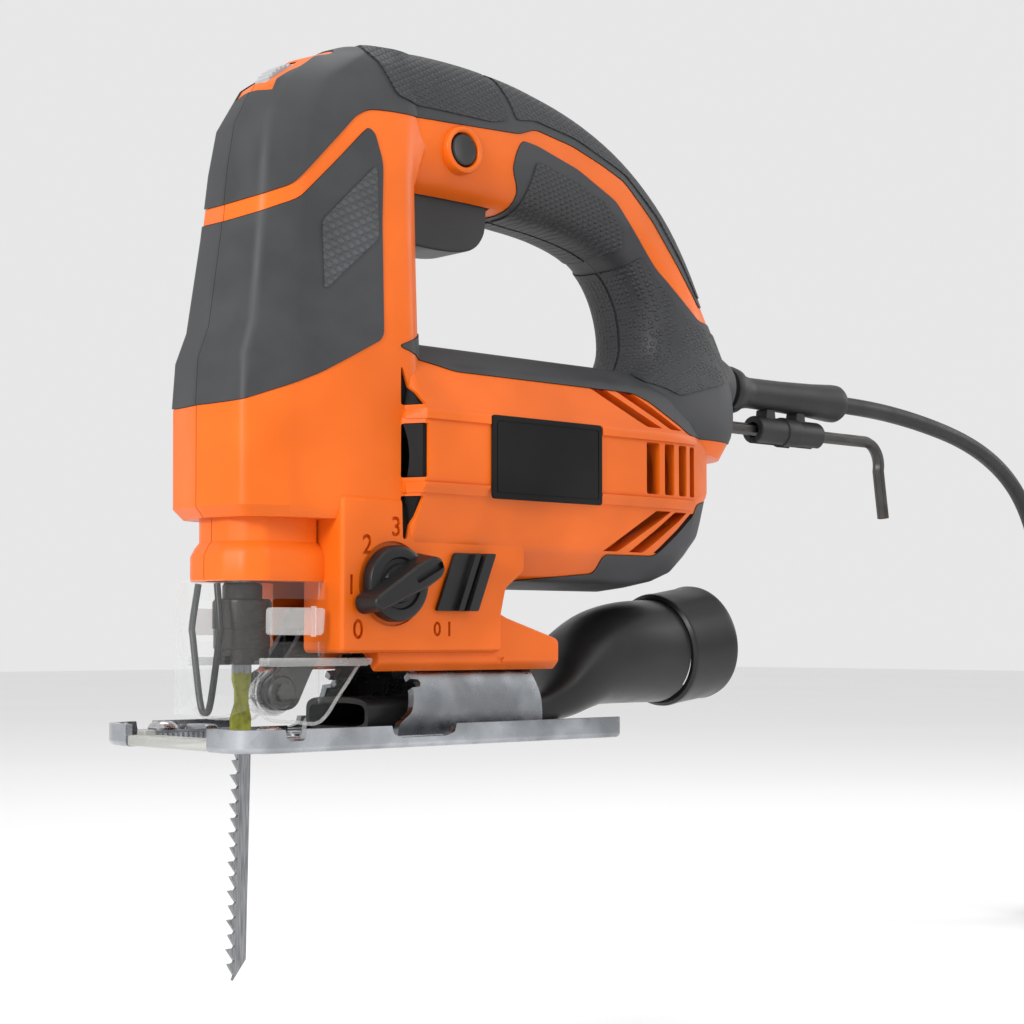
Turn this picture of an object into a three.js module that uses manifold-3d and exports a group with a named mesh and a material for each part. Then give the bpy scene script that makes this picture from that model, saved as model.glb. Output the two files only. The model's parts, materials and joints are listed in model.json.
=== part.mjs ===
// Corded D-handle jigsaw, in millimetres.
// X runs from the nose to the cord, Y to the tool's right, Z up. The origin is on the sole of the
// shoe, on the line that the blade cuts. A piece that touches its neighbour keeps GAP to it.
import * as THREE from 'three';
import { ConvexGeometry } from 'three/addons/geometries/ConvexGeometry.js';
import { mergeVertices } from 'three/addons/utils/BufferGeometryUtils.js';
import Module from 'manifold-3d';

const wasm = await Module();
wasm.setup();

// ---- driving dimensions -------------------------------------------------------------------
const GAP = 0.3;
const WALL = 2.6;             // wall of the plastic housing
const SKIN = 1.6;             // thickness of the soft overmould

const SHOE = { front: -65, rear: 75, halfWidth: 37.7, plate: 2.3, flange: 6.2, sheet: 2.4 };
const NOTCH = { x0: -15.5, x1: 6.5, z: 2.9 };    // dip in the flange that the dial's handle clears
const WINDOW = { x0: -57, x1: -8, halfWidth: 20 };   // blade window in the shoe
const PIVOT_Z = 8;            // height of the bevel axis
const ARCH = { x0: 3, x1: 55, outer: 22.8, inner: 20.4 };
const FOOT = { x0: -9, x1: 62, z: 20.5, halfWidth: 22.5 };

const COLUMN_HALF = 24.5;     // half width of the gear housing
const HOOD_HALF = 21;
const GRIP_HALF = 17;
const NECK = { x0: -53, x1: -22, halfWidth: 17, z0: 46, z1: 70 };
const BODY = { x0: -10, x1: 137, z: 82, radius: 36.5, flat: 31.5 };
const LOWER = { x0: -24, x1: 41, z0: 26, z1: 72, halfWidth: 25 };

const BLADE = { x: -40, width: 6, thick: 1.2, top: 38, tip: -64.5, teeth: 15, pitch: 4 };
const PLUNGER = { x: -40, radius: 4, bottom: 46, top: 130.5 };
const CLAMP = { radius: 5.6, ring: 8.3, z0: 23, z1: 41 };

const TOOTH = 0.9;            // gear module
const GEAR_TEETH = 44;
const PINION_TEETH = 8;
const CRANK = 10;             // half of the 20 mm stroke
const GEAR_Z = BODY.z + TOOTH * (GEAR_TEETH + PINION_TEETH) / 2;
const GEAR_X = { x0: -22, x1: -14 };

const LEVER = { x: -16, z: 36 };                 // pivot of the roller lever
const ROLLER = { x: -30.6, z: 15, radius: 6 };
const DIAL = { x: -6, z: 45.6, radius: 11.4, handle: 15.6, lean: 27 };
const SLIDER = { x: 21.5, z: 46, length: 17, height: 16 };
const TRIGGER = { x0: 11, x1: 45, z0: 144, half: 8 };
const LOCK = { x: 26, z: 177, radius: 4.8 };
const WHEEL = { x: -25, z: 184.8, radius: 11.5, half: 3.5 };

const CORD = { exit: [229, 0, 118], radius: 3.2 };
const FLOOR_Z = -95;
const COIL = { x: 452, y: 0, inner: 24, outer: 46, height: 27 };
const PORT = { x: 129.6, z: 25.4, length: 21.5, radius: 19.5, bore: 16.5, tilt: 8 };

// ---- finishes -----------------------------------------------------------------------------
const paint = (color, roughness, metalness = 0) =>
  new THREE.MeshStandardMaterial({ color, roughness, metalness });
const ORANGE = paint(0xf0702a, 0.45);
const SOFT = paint(0x3c3d3f, 0.75);
const BLACK = paint(0x161718, 0.5);
const STEEL = paint(0xb9bdc2, 0.35, 1);
const DARK_STEEL = paint(0x3a3733, 0.45, 0.9);
const ALLOY = paint(0xa9abad, 0.5, 1);
const COPPER = paint(0xb5651d, 0.4, 1);
const CLEAR = paint(0xe8eef0, 0.08);
const MILKY = paint(0xe6e4d8, 0.4);
const GREEN = paint(0x8c9a2e, 0.5, 0.3);

// ---- shaping ------------------------------------------------------------------------------
/** Turns a closed three.js geometry into a solid that can be joined and cut. */
function solid(geometry) {
  const bare = geometry.index ? geometry.toNonIndexed() : geometry.clone();
  bare.deleteAttribute('normal');
  bare.deleteAttribute('uv');
  const merged = mergeVertices(bare, 1e-4);
  return new wasm.Manifold(new wasm.Mesh({
    numProp: 3,
    vertProperties: new Float32Array(merged.attributes.position.array),
    triVerts: new Uint32Array(merged.index.array),
  }));
}

const join = (first, ...others) => others.reduce((sum, other) => sum.add(other), first);
const cut = (first, ...others) => others.reduce((rest, other) => rest.subtract(other), first);

/** Extrudes an outline by depth, with its rim rounded by round and the whole drawn in by inset. */
function extrude(outline, depth, round, inset) {
  const shape = new THREE.Shape(outline.map(([a, b]) => new THREE.Vector2(a, b)));
  if (round === 0 && inset === 0) {
    return new THREE.ExtrudeGeometry(shape, { depth, bevelEnabled: false });
  }
  const rim = Math.max(round, 0.01);
  return new THREE.ExtrudeGeometry(shape, {
    depth: depth - 2 * inset - 2 * rim, bevelEnabled: true, bevelThickness: rim, bevelSize: rim,
    bevelOffset: -rim - inset, bevelSegments: round > 0 && inset === 0 ? 2 : 1,
  }).translate(0, 0, rim + inset);
}

/** A slab with an (x, z) outline, from y0 to y1. */
function slab(outline, y0, y1, round = 0, inset = 0) {
  const shape = extrude(outline, y1 - y0, round, inset);
  return solid(shape.rotateX(Math.PI / 2).translate(0, y1, 0));
}

/** A plate with an (x, y) outline, from z0 to z1. */
function plate(outline, z0, z1, round = 0, inset = 0) {
  return solid(extrude(outline, z1 - z0, round, inset).translate(0, 0, z0));
}

/** A bar with a (y, z) outline, from x0 to x1. */
function bar(outline, x0, x1, round = 0, inset = 0) {
  const turn = new THREE.Matrix4().makeBasis(
    new THREE.Vector3(0, 1, 0), new THREE.Vector3(0, 0, 1), new THREE.Vector3(1, 0, 0));
  return solid(extrude(outline, x1 - x0, round, inset).applyMatrix4(turn).translate(x0, 0, 0));
}

const rect = (a0, a1, b0, b1) => [[a0, b0], [a1, b0], [a1, b1], [a0, b1]];
const box = (x0, x1, y0, y1, z0, z1) =>
  solid(new THREE.BoxGeometry(x1 - x0, y1 - y0, z1 - z0)
    .translate((x0 + x1) / 2, (y0 + y1) / 2, (z0 + z1) / 2));

/** Points of an arc from one angle to another, in degrees. */
function arc(a, b, radius, from, to, steps) {
  return Array.from({ length: steps + 1 }, (_, i) => {
    const angle = THREE.MathUtils.degToRad(from + (to - from) * i / steps);
    return [a + radius * Math.cos(angle), b + radius * Math.sin(angle)];
  });
}

/** Turns a profile of [radius, height] points, which starts and ends on the axis, about X, Y or Z. */
function turned(profile, axis, [x, y, z], segments = 24) {
  const points = profile.map(([r, h]) => new THREE.Vector2(r, h));
  const shape = new THREE.LatheGeometry(points, segments);
  if (axis === 'x') shape.rotateZ(-Math.PI / 2);
  if (axis === 'z') shape.rotateX(Math.PI / 2);
  return solid(shape.translate(x, y, z));
}

/** A plain shaft along X, Y or Z from h0 to h1. */
function shaft(radius, h0, h1, axis, at, segments = 24) {
  return turned([[0, h0], [radius, h0], [radius, h1], [0, h1]], axis, at, segments);
}

/** A ring along X, Y or Z from h0 to h1. */
function ring(inner, outer, h0, h1, axis, at, segments = 24) {
  return cut(shaft(outer, h0, h1, axis, at, segments), shaft(inner, h0 - 1, h1 + 1, axis, at, segments));
}

/** A round rod of some sides along a smooth curve through the points. */
function rod(points, radius, sides, steps) {
  const curve = new THREE.CatmullRomCurve3(points.map((p) => new THREE.Vector3(...p)), false, 'centripetal');
  const section = new THREE.Shape(
    arc(0, 0, radius, 0, 360 * (sides - 1) / sides, sides - 1).map(([a, b]) => new THREE.Vector2(a, b)));
  return solid(new THREE.ExtrudeGeometry(section, { steps, extrudePath: curve, bevelEnabled: false }));
}

const assembly = new THREE.Group();

/** Adds a solid to the assembly under the name that a person would call it. */
function piece(name, shape, material) {
  const made = shape.getMesh();
  const geometry = new THREE.BufferGeometry();
  geometry.setAttribute('position', new THREE.BufferAttribute(new Float32Array(made.vertProperties), 3));
  geometry.setIndex(new THREE.BufferAttribute(new Uint32Array(made.triVerts), 1));
  const mesh = new THREE.Mesh(geometry, material);
  mesh.name = name;
  assembly.add(mesh);
}

/** The two halves of a shape on each side of the parting plane. */
const HALVES = { left: -1, right: 1 };
function half(shape, side) {
  const far = 80;
  const near = GAP / 2;
  return shape.intersect(side < 0
    ? box(-100, 260, -far, -near, -20, 260)
    : box(-100, 260, near, far, -20, 260));
}

// ---- housing ------------------------------------------------------------------------------
const COLUMN_SIDE = [[-56, 67], [-56, 95], [-54.5, 110], [-51.5, 118], [-48, 143], [-47, 155],
  [8, 155], [8, 64], [-20, 64]];
const HOOD_SIDE = [[-47.5, 148], [-44.5, 175], [-37, 189], [-25, 198], [-8, 204], [10, 205.5],
  [10, 148]];
const COLUMN_PLAN = [[-57, -15], [-44, -20], [-30, -COLUMN_HALF], [9, -COLUMN_HALF],
  [9, COLUMN_HALF], [-30, COLUMN_HALF], [-44, 20], [-57, 15]];
const HANDLE_SIDE = [[-12, 200], [10, 205.5], [34, 206], [60, 204], [86, 198], [108, 187.5],
  [125, 173], [137, 154], [145, 137], [150, 126], [150, 104], [142, 92], [120, 92], [-6, 92]];
const HANDLE_WINDOW = [[8, 119], [8, 163], [56, 163], [64, 159.5], [92, 157], [106, 150],
  [112.5, 140], [113, 128], [106, 119]];
const LOWER_PLAN = rect(LOWER.x0, LOWER.x1, -LOWER.halfWidth, LOWER.halfWidth);
const FOOT_SECTION = [[-FOOT.halfWidth, FOOT.z + 2.7], [-19.8, FOOT.z], [19.8, FOOT.z],
  [FOOT.halfWidth, FOOT.z + 2.7], [FOOT.halfWidth, 37], [-FOOT.halfWidth, 37]];
const FOOT_SIDE = [[FOOT.x0, 20], [FOOT.x1, 20], [FOOT.x1, 30], [41, 37], [FOOT.x0, 37]];
const NECK_PLAN = [[NECK.x0 + 4, -11], [NECK.x0 + 9, -NECK.halfWidth], [NECK.x1, -NECK.halfWidth],
  [NECK.x1, NECK.halfWidth], [NECK.x0 + 9, NECK.halfWidth], [NECK.x0 + 4, 11], [NECK.x0, 6],
  [NECK.x0, -6]];

/** The motor barrel, a turned body flattened on its two sides. */
function barrel(inset) {
  const r = BODY.radius - inset;
  const profile = [[0, BODY.x0 + inset], [r - 2, BODY.x0 + inset], [r, BODY.x0 + 4 + inset], [r, 100],
    [r - 3, 118], [r - 10, 130 - inset], [r - 20, BODY.x1 - inset], [0, BODY.x1 - inset]];
  const sides = box(BODY.x0, 150, inset - BODY.flat, BODY.flat - inset, 40, 130);
  return turned(profile, 'x', [0, 0, BODY.z], 24).intersect(sides);
}

/** The whole housing as one body, drawn in by inset. */
function housing(inset) {
  const column = slab(COLUMN_SIDE, -COLUMN_HALF, COLUMN_HALF, 0, inset)
    .intersect(plate(COLUMN_PLAN, 60, 160, 0, inset));
  const hood = slab(HOOD_SIDE, -HOOD_HALF, HOOD_HALF, 5, inset);
  const window = slab(HANDLE_WINDOW, -40, 40, 0, -inset);
  const handle = cut(slab(HANDLE_SIDE, -GRIP_HALF, GRIP_HALF, 6, inset), window);
  const lower = plate(LOWER_PLAN, LOWER.z0, LOWER.z1, 1.5, inset);
  const foot = bar(FOOT_SECTION, FOOT.x0, FOOT.x1, 0, inset)
    .intersect(slab(FOOT_SIDE, -30, 30, 0, inset));
  const neck = plate(NECK_PLAN, NECK.z0, NECK.z1 + 2 * inset, 0, inset);
  const cordNeck = shaft(10 - inset, 130, 163 - inset, 'x', [0, 0, CORD.exit[2]], 16);
  return join(column, hood, handle, barrel(inset), lower, foot, neck, cordNeck);
}

// Outlines of the soft pads on the side of the housing, as (x, z).
const PADS = {
  hood_grip: [[-60, 150.5], [-38, 154], [-12, 181], [4, 184], [52, 187.5], [74, 184.5], [98, 174],
    [116, 158], [128, 140], [150, 146], [170, 150], [170, 225], [-60, 225]],
  nose_pad: [[-70, 94.5], [-36, 101], [-9, 115], [-9, 165], [-12, 176], [-37, 150], [-60, 146.5]],
  rear_grip: [[50, 183.5], [46, 176], [53, 166], [62, 150], [96, 150], [105, 130], [96, 118],
    [60, 110], [102, 104], [120, 94], [172, 90], [172, 138], [127, 136], [114, 153], [96, 169],
    [73, 180]],
};
const TAIL_REGION = [[44, 30], [44, 50], [96, 50], [122, 76], [160, 84], [160, 30]];

const skin = housing(0);
const core = housing(SKIN + GAP);
const underPad = cut(skin, housing(SKIN));
const cavity = housing(WALL + 1.2);

const motorSpace = join(
  shaft(28.6, -7, 112, 'x', [0, 0, BODY.z], 32),
  box(-45, -4.5, -21.2, 21.2, 62, 132),
);
const orbitSpace = box(-45, -10, -7.5, 7.5, 15, 70);
const plungerSpace = join(
  box(-49.5, -26, -12, 12, 44, 112),
  box(-47.6, -26, -12, 12, 111, 131),
  box(-44.6, -26, -12, 12, 130, 152),
);
const archReach = Math.hypot(ARCH.outer, PIVOT_Z - SHOE.plate) + GAP;
const archSpace = shaft(archReach, -20, 80, 'x', [0, 0, PIVOT_Z], 48);
const triggerSpace = box(TRIGGER.x0 - 1, TRIGGER.x1 + 1, -TRIGGER.half - 0.6, TRIGGER.half + 0.6, 140, 180);
const wheelSpace = shaft(WHEEL.radius + 0.8, -WHEEL.half - 0.6, WHEEL.half + 0.6, 'y',
  [WHEEL.x, 0, WHEEL.z], 24);
const dialHole = shaft(3.5, -40, 0, 'y', [DIAL.x, 0, DIAL.z], 16);
const dialSeat = join(
  shaft(DIAL.radius + 0.6, -40, -24.2, 'y', [DIAL.x, 0, DIAL.z], 24),
  shaft(DIAL.handle + 0.8, -40, -27.6, 'y', [DIAL.x, 0, DIAL.z], 24),
);
const sliderSlot = box(SLIDER.x - 12, SLIDER.x + 12, -40, -20, SLIDER.z - 4, SLIDER.z + 4);
const lockHole = shaft(LOCK.radius + 0.5, -30, -9, 'y', [LOCK.x, 0, LOCK.z], 20);
const cordHole = shaft(6.8, 120, 180, 'x', [0, 0, CORD.exit[2]], 16);
const clampHole = shaft(3.4, 10, 40, 'z', [46, 0, 0], 16);

/** Slots that let the cooling air out at the front of the motor and in at its rear. */
function vents() {
  const slots = [];
  const front = [[[-4, 107], [4, 107], [4, 97], [-4, 91.5]], rect(-5, 4, 76, 91), rect(-4, 3, 60, 71)];
  for (const outline of front) {
    slots.push(slab(outline, -40, -20), slab(outline, 20, 40));
  }
  for (let i = 0; i < 4; i += 1) {
    const x = 78 + 9.5 * i;
    for (const outline of [[[x, 107], [x + 5, 107], [x + 11, 96], [x + 6, 96]],
      [[x, 70], [x + 5, 70], [x + 11, 59], [x + 6, 59]], rect(x + 4, x + 8.5, 76, 92)]) {
      slots.push(slab(outline, -40, -20), slab(outline, 20, 40));
    }
  }
  return slots;
}

/** Rings inside the barrel that hold the field core and the rear bearing. */
function seats() {
  const inside = barrel(SKIN + 2 * GAP);
  const places = [[28, 29.6, 26], [72.4, 74, 26], [98, 104, 9.9]];
  return places.map(([x0, x1, bore]) =>
    ring(bore, 60, x0, x1, 'x', [0, 0, BODY.z], 24).intersect(inside));
}

// The bosses that the shell screws go through, as (x, z).
const SCREWS = [[-14, 57], [0, 144], [62, 181], [121, 112]];
const boss = ([x, z], radius) => shaft(radius, -30, 30, 'y', [x, 0, z], 12);
const pockets = SCREWS.map(([x, z]) => shaft(3.8, 8.7, 40, 'y', [x, 0, z], 12));

function padRegion(name, side, inset) {
  const y = side < 0 ? [-60, 0] : [0, 60];
  return slab(PADS[name], ...y, 0, inset);
}

for (const [side, sign] of Object.entries(HALVES)) {
  for (const name of Object.keys(PADS)) {
    const pad = cut(underPad.intersect(padRegion(name, sign, GAP)), wheelSpace, cordHole, ...pockets);
    const kept = half(pad, sign).decompose().sort((a, b) => b.volume() - a.volume())[0];
    piece(`${name}_${side}`, kept, SOFT);
  }
}

const padded = Object.keys(PADS).flatMap((name) => [padRegion(name, -1, 0), padRegion(name, 1, 0)]);
const tailRegion = (inset) => slab(TAIL_REGION, -60, 60, 0, inset);
const hardSkin = cut(skin, ...padded, tailRegion(0));
const shellBody = join(hardSkin, core);
const screwBosses = SCREWS.map((at) => boss(at, 4).intersect(core));
const shell = cut(
  join(cut(shellBody, cavity, motorSpace, plungerSpace), ...seats(), ...screwBosses),
  orbitSpace, archSpace, triggerSpace, wheelSpace, dialHole, dialSeat, sliderSlot, lockHole,
  cordHole, clampHole, ...vents(), ...SCREWS.map((at) => boss(at, 1.9)), ...pockets,
);
for (const [side, sign] of Object.entries(HALVES)) {
  const parts = half(shell, sign).decompose().sort((a, b) => b.volume() - a.volume());
  piece(`${side}_shell`, parts[0], ORANGE);
}
const tail = cut(skin, housing(SKIN)).intersect(tailRegion(GAP)).decompose()
  .sort((a, b) => b.volume() - a.volume())[0];
piece('tail_bumper', tail, SOFT);

for (const [side, sign] of Object.entries(HALVES)) {
  const y = sign * (BODY.flat + GAP);
  const label = slab(rect(26, 71.5, 71, 96), Math.min(y, y + sign), Math.max(y, y + sign));
  piece(`label_plate_${side}`, label, BLACK);
}
SCREWS.forEach((at, i) => {
  const [x, z] = at;
  const screw = turned([[0, -8], [1.6, -8], [1.6, 9], [3.4, 9], [3.4, 11], [0, 11]], 'y', [x, 0, z], 12);
  piece(`shell_screw_${i + 1}`, screw, STEEL);
});

// ---- motor and gearbox --------------------------------------------------------------------
const motor = [0, 0, BODY.z];
piece('stator_core', ring(16.2, 27.8, 30, 72, 'x', motor), STEEL);
piece('field_winding_front', ring(17, 25, 21, 29.7 - 2.2, 'x', motor), COPPER);
piece('field_winding_rear', ring(17, 25, 74.4, 81.5, 'x', motor), COPPER);
piece('armature_shaft', shaft(3.9, -12.6, 107, 'x', motor, 16), STEEL);
piece('armature_core', ring(4.2, 15.6, 30, 72, 'x', motor), DARK_STEEL);
piece('commutator', ring(4.2, 11, 84, 96, 'x', motor), COPPER);
piece('front_bearing', ring(4.2, 11, -12, -5, 'x', motor), STEEL);
piece('rear_bearing', ring(4.2, 9.5, 98.2, 103.8, 'x', motor), STEEL);
for (const [side, sign] of Object.entries(HALVES)) {
  const ends = [sign * 11.4, sign * 22];
  piece(`brush_holder_${side}`, box(86, 94, Math.min(...ends), Math.max(...ends), 77.5, 86.5), BLACK);
}

/** The cooling fan: a hub and disc with straight blades. */
function fan() {
  const blades = Array.from({ length: 9 }, (_, i) =>
    bar(rect(8, 24, -0.8, 0.8), -3, 4.5).rotate([i * 40, 0, 0]).translate(motor));
  return cut(join(shaft(24, 4, 6, 'x', motor), shaft(9, -3, 6, 'x', motor), ...blades),
    shaft(4.2, -5, 8, 'x', motor, 16));
}
piece('cooling_fan', fan(), BLACK);

/** The outline of a spur gear, with its first tooth or its first gap on the given angle. */
function gearOutline(teeth, start) {
  const pitch = TOOTH * teeth / 2;
  const step = 360 / teeth;
  const corners = [[-0.3, -1.1], [-0.11, 0.75], [0.11, 0.75], [0.3, -1.1]];
  return Array.from({ length: teeth }, (_, i) => corners.map(([turn, height]) => {
    const angle = THREE.MathUtils.degToRad(start + (i + turn) * step);
    const r = pitch + height * TOOTH;
    return [r * Math.cos(angle), r * Math.sin(angle)];
  })).flat();
}

const gear = [0, 0, GEAR_Z];
const gearBlank = bar(gearOutline(GEAR_TEETH, 270), GEAR_X.x0, GEAR_X.x1).translate(gear);
const crankPin = shaft(3, GEAR_X.x0 - 4.6, GEAR_X.x0 + 1, 'x', [0, 0, GEAR_Z - CRANK], 16);
piece('drive_gear', join(cut(gearBlank, shaft(3.9, -30, 0, 'x', gear, 16)), crankPin), STEEL);
piece('gear_shaft', shaft(3.6, -21.5, -4, 'x', gear, 16), STEEL);
const pinion = bar(gearOutline(PINION_TEETH, 90 + 180 / PINION_TEETH), GEAR_X.x0, -13).translate(motor);
piece('pinion', pinion, STEEL);
const bulkhead = cut(bar(rect(-20.4, 20.4, 63, 130), -12, -6),
  shaft(11.3, -20, 0, 'x', motor), shaft(3.9, -20, 0, 'x', gear, 16));
piece('gearbox_plate', bulkhead, ALLOY);

// ---- blade drive --------------------------------------------------------------------------
const yokeZ = GEAR_Z - CRANK;
const rodAxis = [PLUNGER.x, 0, 0];
const yoke = cut(box(-40, -27.2, -14, 14, yokeZ - 6.5, yokeZ + 6.5),
  box(-31, -20, -13.4, 13.4, yokeZ - 3.3, yokeZ + 3.3));
piece('plunger', join(shaft(PLUNGER.radius, PLUNGER.bottom, PLUNGER.top, 'z', rodAxis, 16), yoke), STEEL);

const guideBlocks = [[66.5, 74], [122.6, 129]].map(([z0, z1]) => box(-46.8, -34, -8, 8, z0, z1));
const guide = cut(join(box(-46.8, -45.2, -8, 8, 66.5, 129), ...guideBlocks),
  shaft(PLUNGER.radius + GAP, 50, 140, 'z', rodAxis, 16));
piece('plunger_guide', guide, ALLOY);

const slot = box(PLUNGER.x - 3.4, PLUNGER.x + 3.4, -0.95, 0.95, 10, BLADE.top + GAP);
piece('clamp_body', cut(shaft(CLAMP.radius, CLAMP.z0, 45.7, 'z', rodAxis, 20), slot), DARK_STEEL);
const collarProfile = [[0, 24], [7.2, 24], [CLAMP.ring, 25.2], [CLAMP.ring, 30], [7.7, 31],
  [7.7, 39.5], [7, 40.5], [0, 40.5]];
const collar = cut(turned(collarProfile, 'z', rodAxis), shaft(CLAMP.radius + GAP, 20, 45, 'z', rodAxis, 20));
piece('clamp_collar', collar, DARK_STEEL);

/** The blade's outline: its toothed edge faces forward and its tip is cut back at an angle. */
function bladeOutline() {
  const front = PLUNGER.x - BLADE.width / 2;
  const back = PLUNGER.x + BLADE.width / 2;
  const teeth = Array.from({ length: BLADE.teeth }, (_, i) => {
    const z = BLADE.tip + 1.5 + i * BLADE.pitch;
    return [[front, z], [front + 1.5, z + 1.2], [front + 0.6, z + 3]];
  }).flat();
  return [...teeth, [front + 0.5, -1], [front - 0.6, 6], [front, 20], [front, BLADE.top],
    [back, BLADE.top], [back, -60], [back - 3, BLADE.tip]];
}
piece('saw_blade', slab(bladeOutline(), -BLADE.thick / 2, BLADE.thick / 2), GREEN);

const leverArm = [[-19.5, 39], [-12.5, 39], [-12, 32], [-20, 20], [-26, 9.5], [-31, 10], [-33, 13],
  [-33, 17], [-29, 21], [-23, 30]];
const leverCheeks = cut(slab(leverArm, -5.6, 5.6), box(-40, -23.4, -3.4, 3.4, 0, 30),
  shaft(1.7, -10, 10, 'y', [ROLLER.x, 0, ROLLER.z], 12), shaft(2.3, -10, 10, 'y', [LEVER.x, 0, LEVER.z], 12));
piece('roller_lever', leverCheeks, DARK_STEEL);
const rollerRim = turned([[0, -3], [ROLLER.radius + 0.8, -3], [ROLLER.radius, -1], [ROLLER.radius, 1],
  [ROLLER.radius + 0.8, 3], [0, 3]], 'y', [ROLLER.x, 0, ROLLER.z]);
piece('guide_roller', cut(rollerRim, shaft(1.7, -5, 5, 'y', [ROLLER.x, 0, ROLLER.z], 12)), STEEL);

// ---- controls -----------------------------------------------------------------------------
const triggerSide = [[TRIGGER.x0, 172], [TRIGGER.x0, 150], [15, 145], [24, TRIGGER.z0], [36, 145],
  [43, 149], [TRIGGER.x1, 156], [TRIGGER.x1, 172]];
piece('trigger', slab(triggerSide, -TRIGGER.half, TRIGGER.half, 1.5), BLACK);
piece('switch_box', box(14, 42, -7.8, 7.8, 181.3, 196), BLACK);
piece('trigger_spring', ring(2.2, 3.6, 172.4, 181, 'z', [34, 0, 0], 12), STEEL);
const button = join(shaft(LOCK.radius, -16, -11.4, 'y', [LOCK.x, 0, LOCK.z], 20),
  shaft(LOCK.radius - 0.8, -18.4, -15, 'y', [LOCK.x, 0, LOCK.z], 20));
piece('lock_button', button, BLACK);

/** The speed wheel: a rim with finger grooves. */
function speedWheel() {
  const grooves = Array.from({ length: 16 }, (_, i) => {
    const [x, z] = arc(WHEEL.x, WHEEL.z, WHEEL.radius + 0.3, 0, 360 * 15 / 16, 15)[i];
    return shaft(0.9, -5, 5, 'y', [x, 0, z], 6);
  });
  return cut(shaft(WHEEL.radius, -WHEEL.half, WHEEL.half, 'y', [WHEEL.x, 0, WHEEL.z], 32), ...grooves);
}
piece('speed_wheel', speedWheel(), STEEL);

const dialAt = [DIAL.x, 0, DIAL.z];
const dialHandle = slab([[-15.6, -2.6], [9.5, -5], [13.8, -3], [13.8, 3], [9.5, 5], [-15.6, 2.6]], -33.5, -28)
  .rotate([0, -DIAL.lean, 0]).translate(dialAt);
const dial = join(shaft(DIAL.radius, -29, -25.3 + 0.8, 'y', dialAt), dialHandle,
  shaft(3, -25, -9, 'y', dialAt, 16));
piece('orbit_dial', dial, BLACK);
const knob = join(slab([[12.5, 38.5], [27, 38.5], [31, 54], [16.5, 54]], -28.2, -25.4, 0.6),
  box(SLIDER.x - 7, SLIDER.x + 7, -26, -23.4, SLIDER.z - 3.4, SLIDER.z + 3.4));
piece('blower_slider', knob, BLACK);

// ---- guards -------------------------------------------------------------------------------
const wirePath = [[-51.5, -5, 45], [-52, -6.6, 34], [-52, -4, 16], [-52, 0, 10], [-52, 4, 16],
  [-52, 6.6, 34], [-51.5, 5, 45]];
piece('wire_guard', rod(wirePath, 1, 6, 24), BLACK);

/** The clear guard: a U round the blade that grips the neck, with a rail and a flap on each side. */
function clearGuard() {
  const sheet = 1.8;
  const outer = [[-30, -19.2], [-46, -19.2], [-53, -14], [-56.5, -7], [-56.5, 7], [-53, 14], [-46, 19.2],
    [-30, 19.2]];
  const inner = outer.map(([x, y]) => [x < -31 ? x + sheet : x + 10, y - Math.sign(y) * sheet]);
  const front = cut(plate(outer, 24, 45.6), plate(inner, 20, 50));
  const low = [[-40, -17], [-46, -17], [-53, -13], [-56.5, -7], [-56.5, 7], [-53, 13], [-46, 17], [-40, 17]];
  const lowInner = low.map(([x, y]) => [x < -41 ? x + sheet : x + 10, y - Math.sign(y) * sheet]);
  const skirt = cut(plate(low, 10, 24.1), plate(lowInner, 0, 30));
  const flapSide = [[-46, 24.4], [-46, 12], [-42, 7], [-19, 7], [-10, 24.4]];
  const parts = [-1, 1].flatMap((side) => {
    const y = [side * 15.2, side * 17].sort((a, b) => a - b);
    const rail = [side * 15.2, side * 20.4].sort((a, b) => a - b);
    return [slab(flapSide, ...y), slab(rect(-45, -9.5, 22.6, 24.6), ...rail)];
  });
  return join(front, skirt, ...parts);
}
piece('clear_guard', clearGuard(), CLEAR);

// ---- shoe ---------------------------------------------------------------------------------
/** One side of the shoe, with its flange and its front horn. */
function shoe() {
  const { front, rear, halfWidth: w, plate: t, flange, sheet } = SHOE;
  const outline = [[front, -20], [front, -29], [-60, -35], [-52, -w], [rear, -w], [rear, w], [-52, w],
    [-60, 35], [front, 29], [front, 20], [WINDOW.x0, 20], [WINDOW.x1, 20], [WINDOW.x1, -20]];
  outline.push([WINDOW.x0, -20]);
  const flanges = [-1, 1].flatMap((side) => {
    const y = [side * (w - sheet), side * w].sort((a, b) => a - b);
    const horn = [[front, side * 20], [front, side * 29], [-60, side * 35], [-52, side * w]];
    const innerHorn = [[-52, side * (w - sheet)], [-59, side * (35 - sheet)],
      [front + sheet, side * 28], [front + sheet, side * 20]];
    return [box(-42, rear, ...y, 0.2, flange), plate([...horn, ...innerHorn], 0.2, flange + 0.6)];
  });
  const holes = [-26, 26].map((y) => shaft(1.9, -1, 5, 'z', [-49, y, 0], 12));
  const dialNotch = box(NOTCH.x0, NOTCH.x1, -w - 1, w + 1, NOTCH.z, 10);
  return cut(join(plate(outline, 0, t), ...flanges), ...holes, dialNotch);
}
piece('shoe_plate', shoe(), STEEL);

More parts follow.
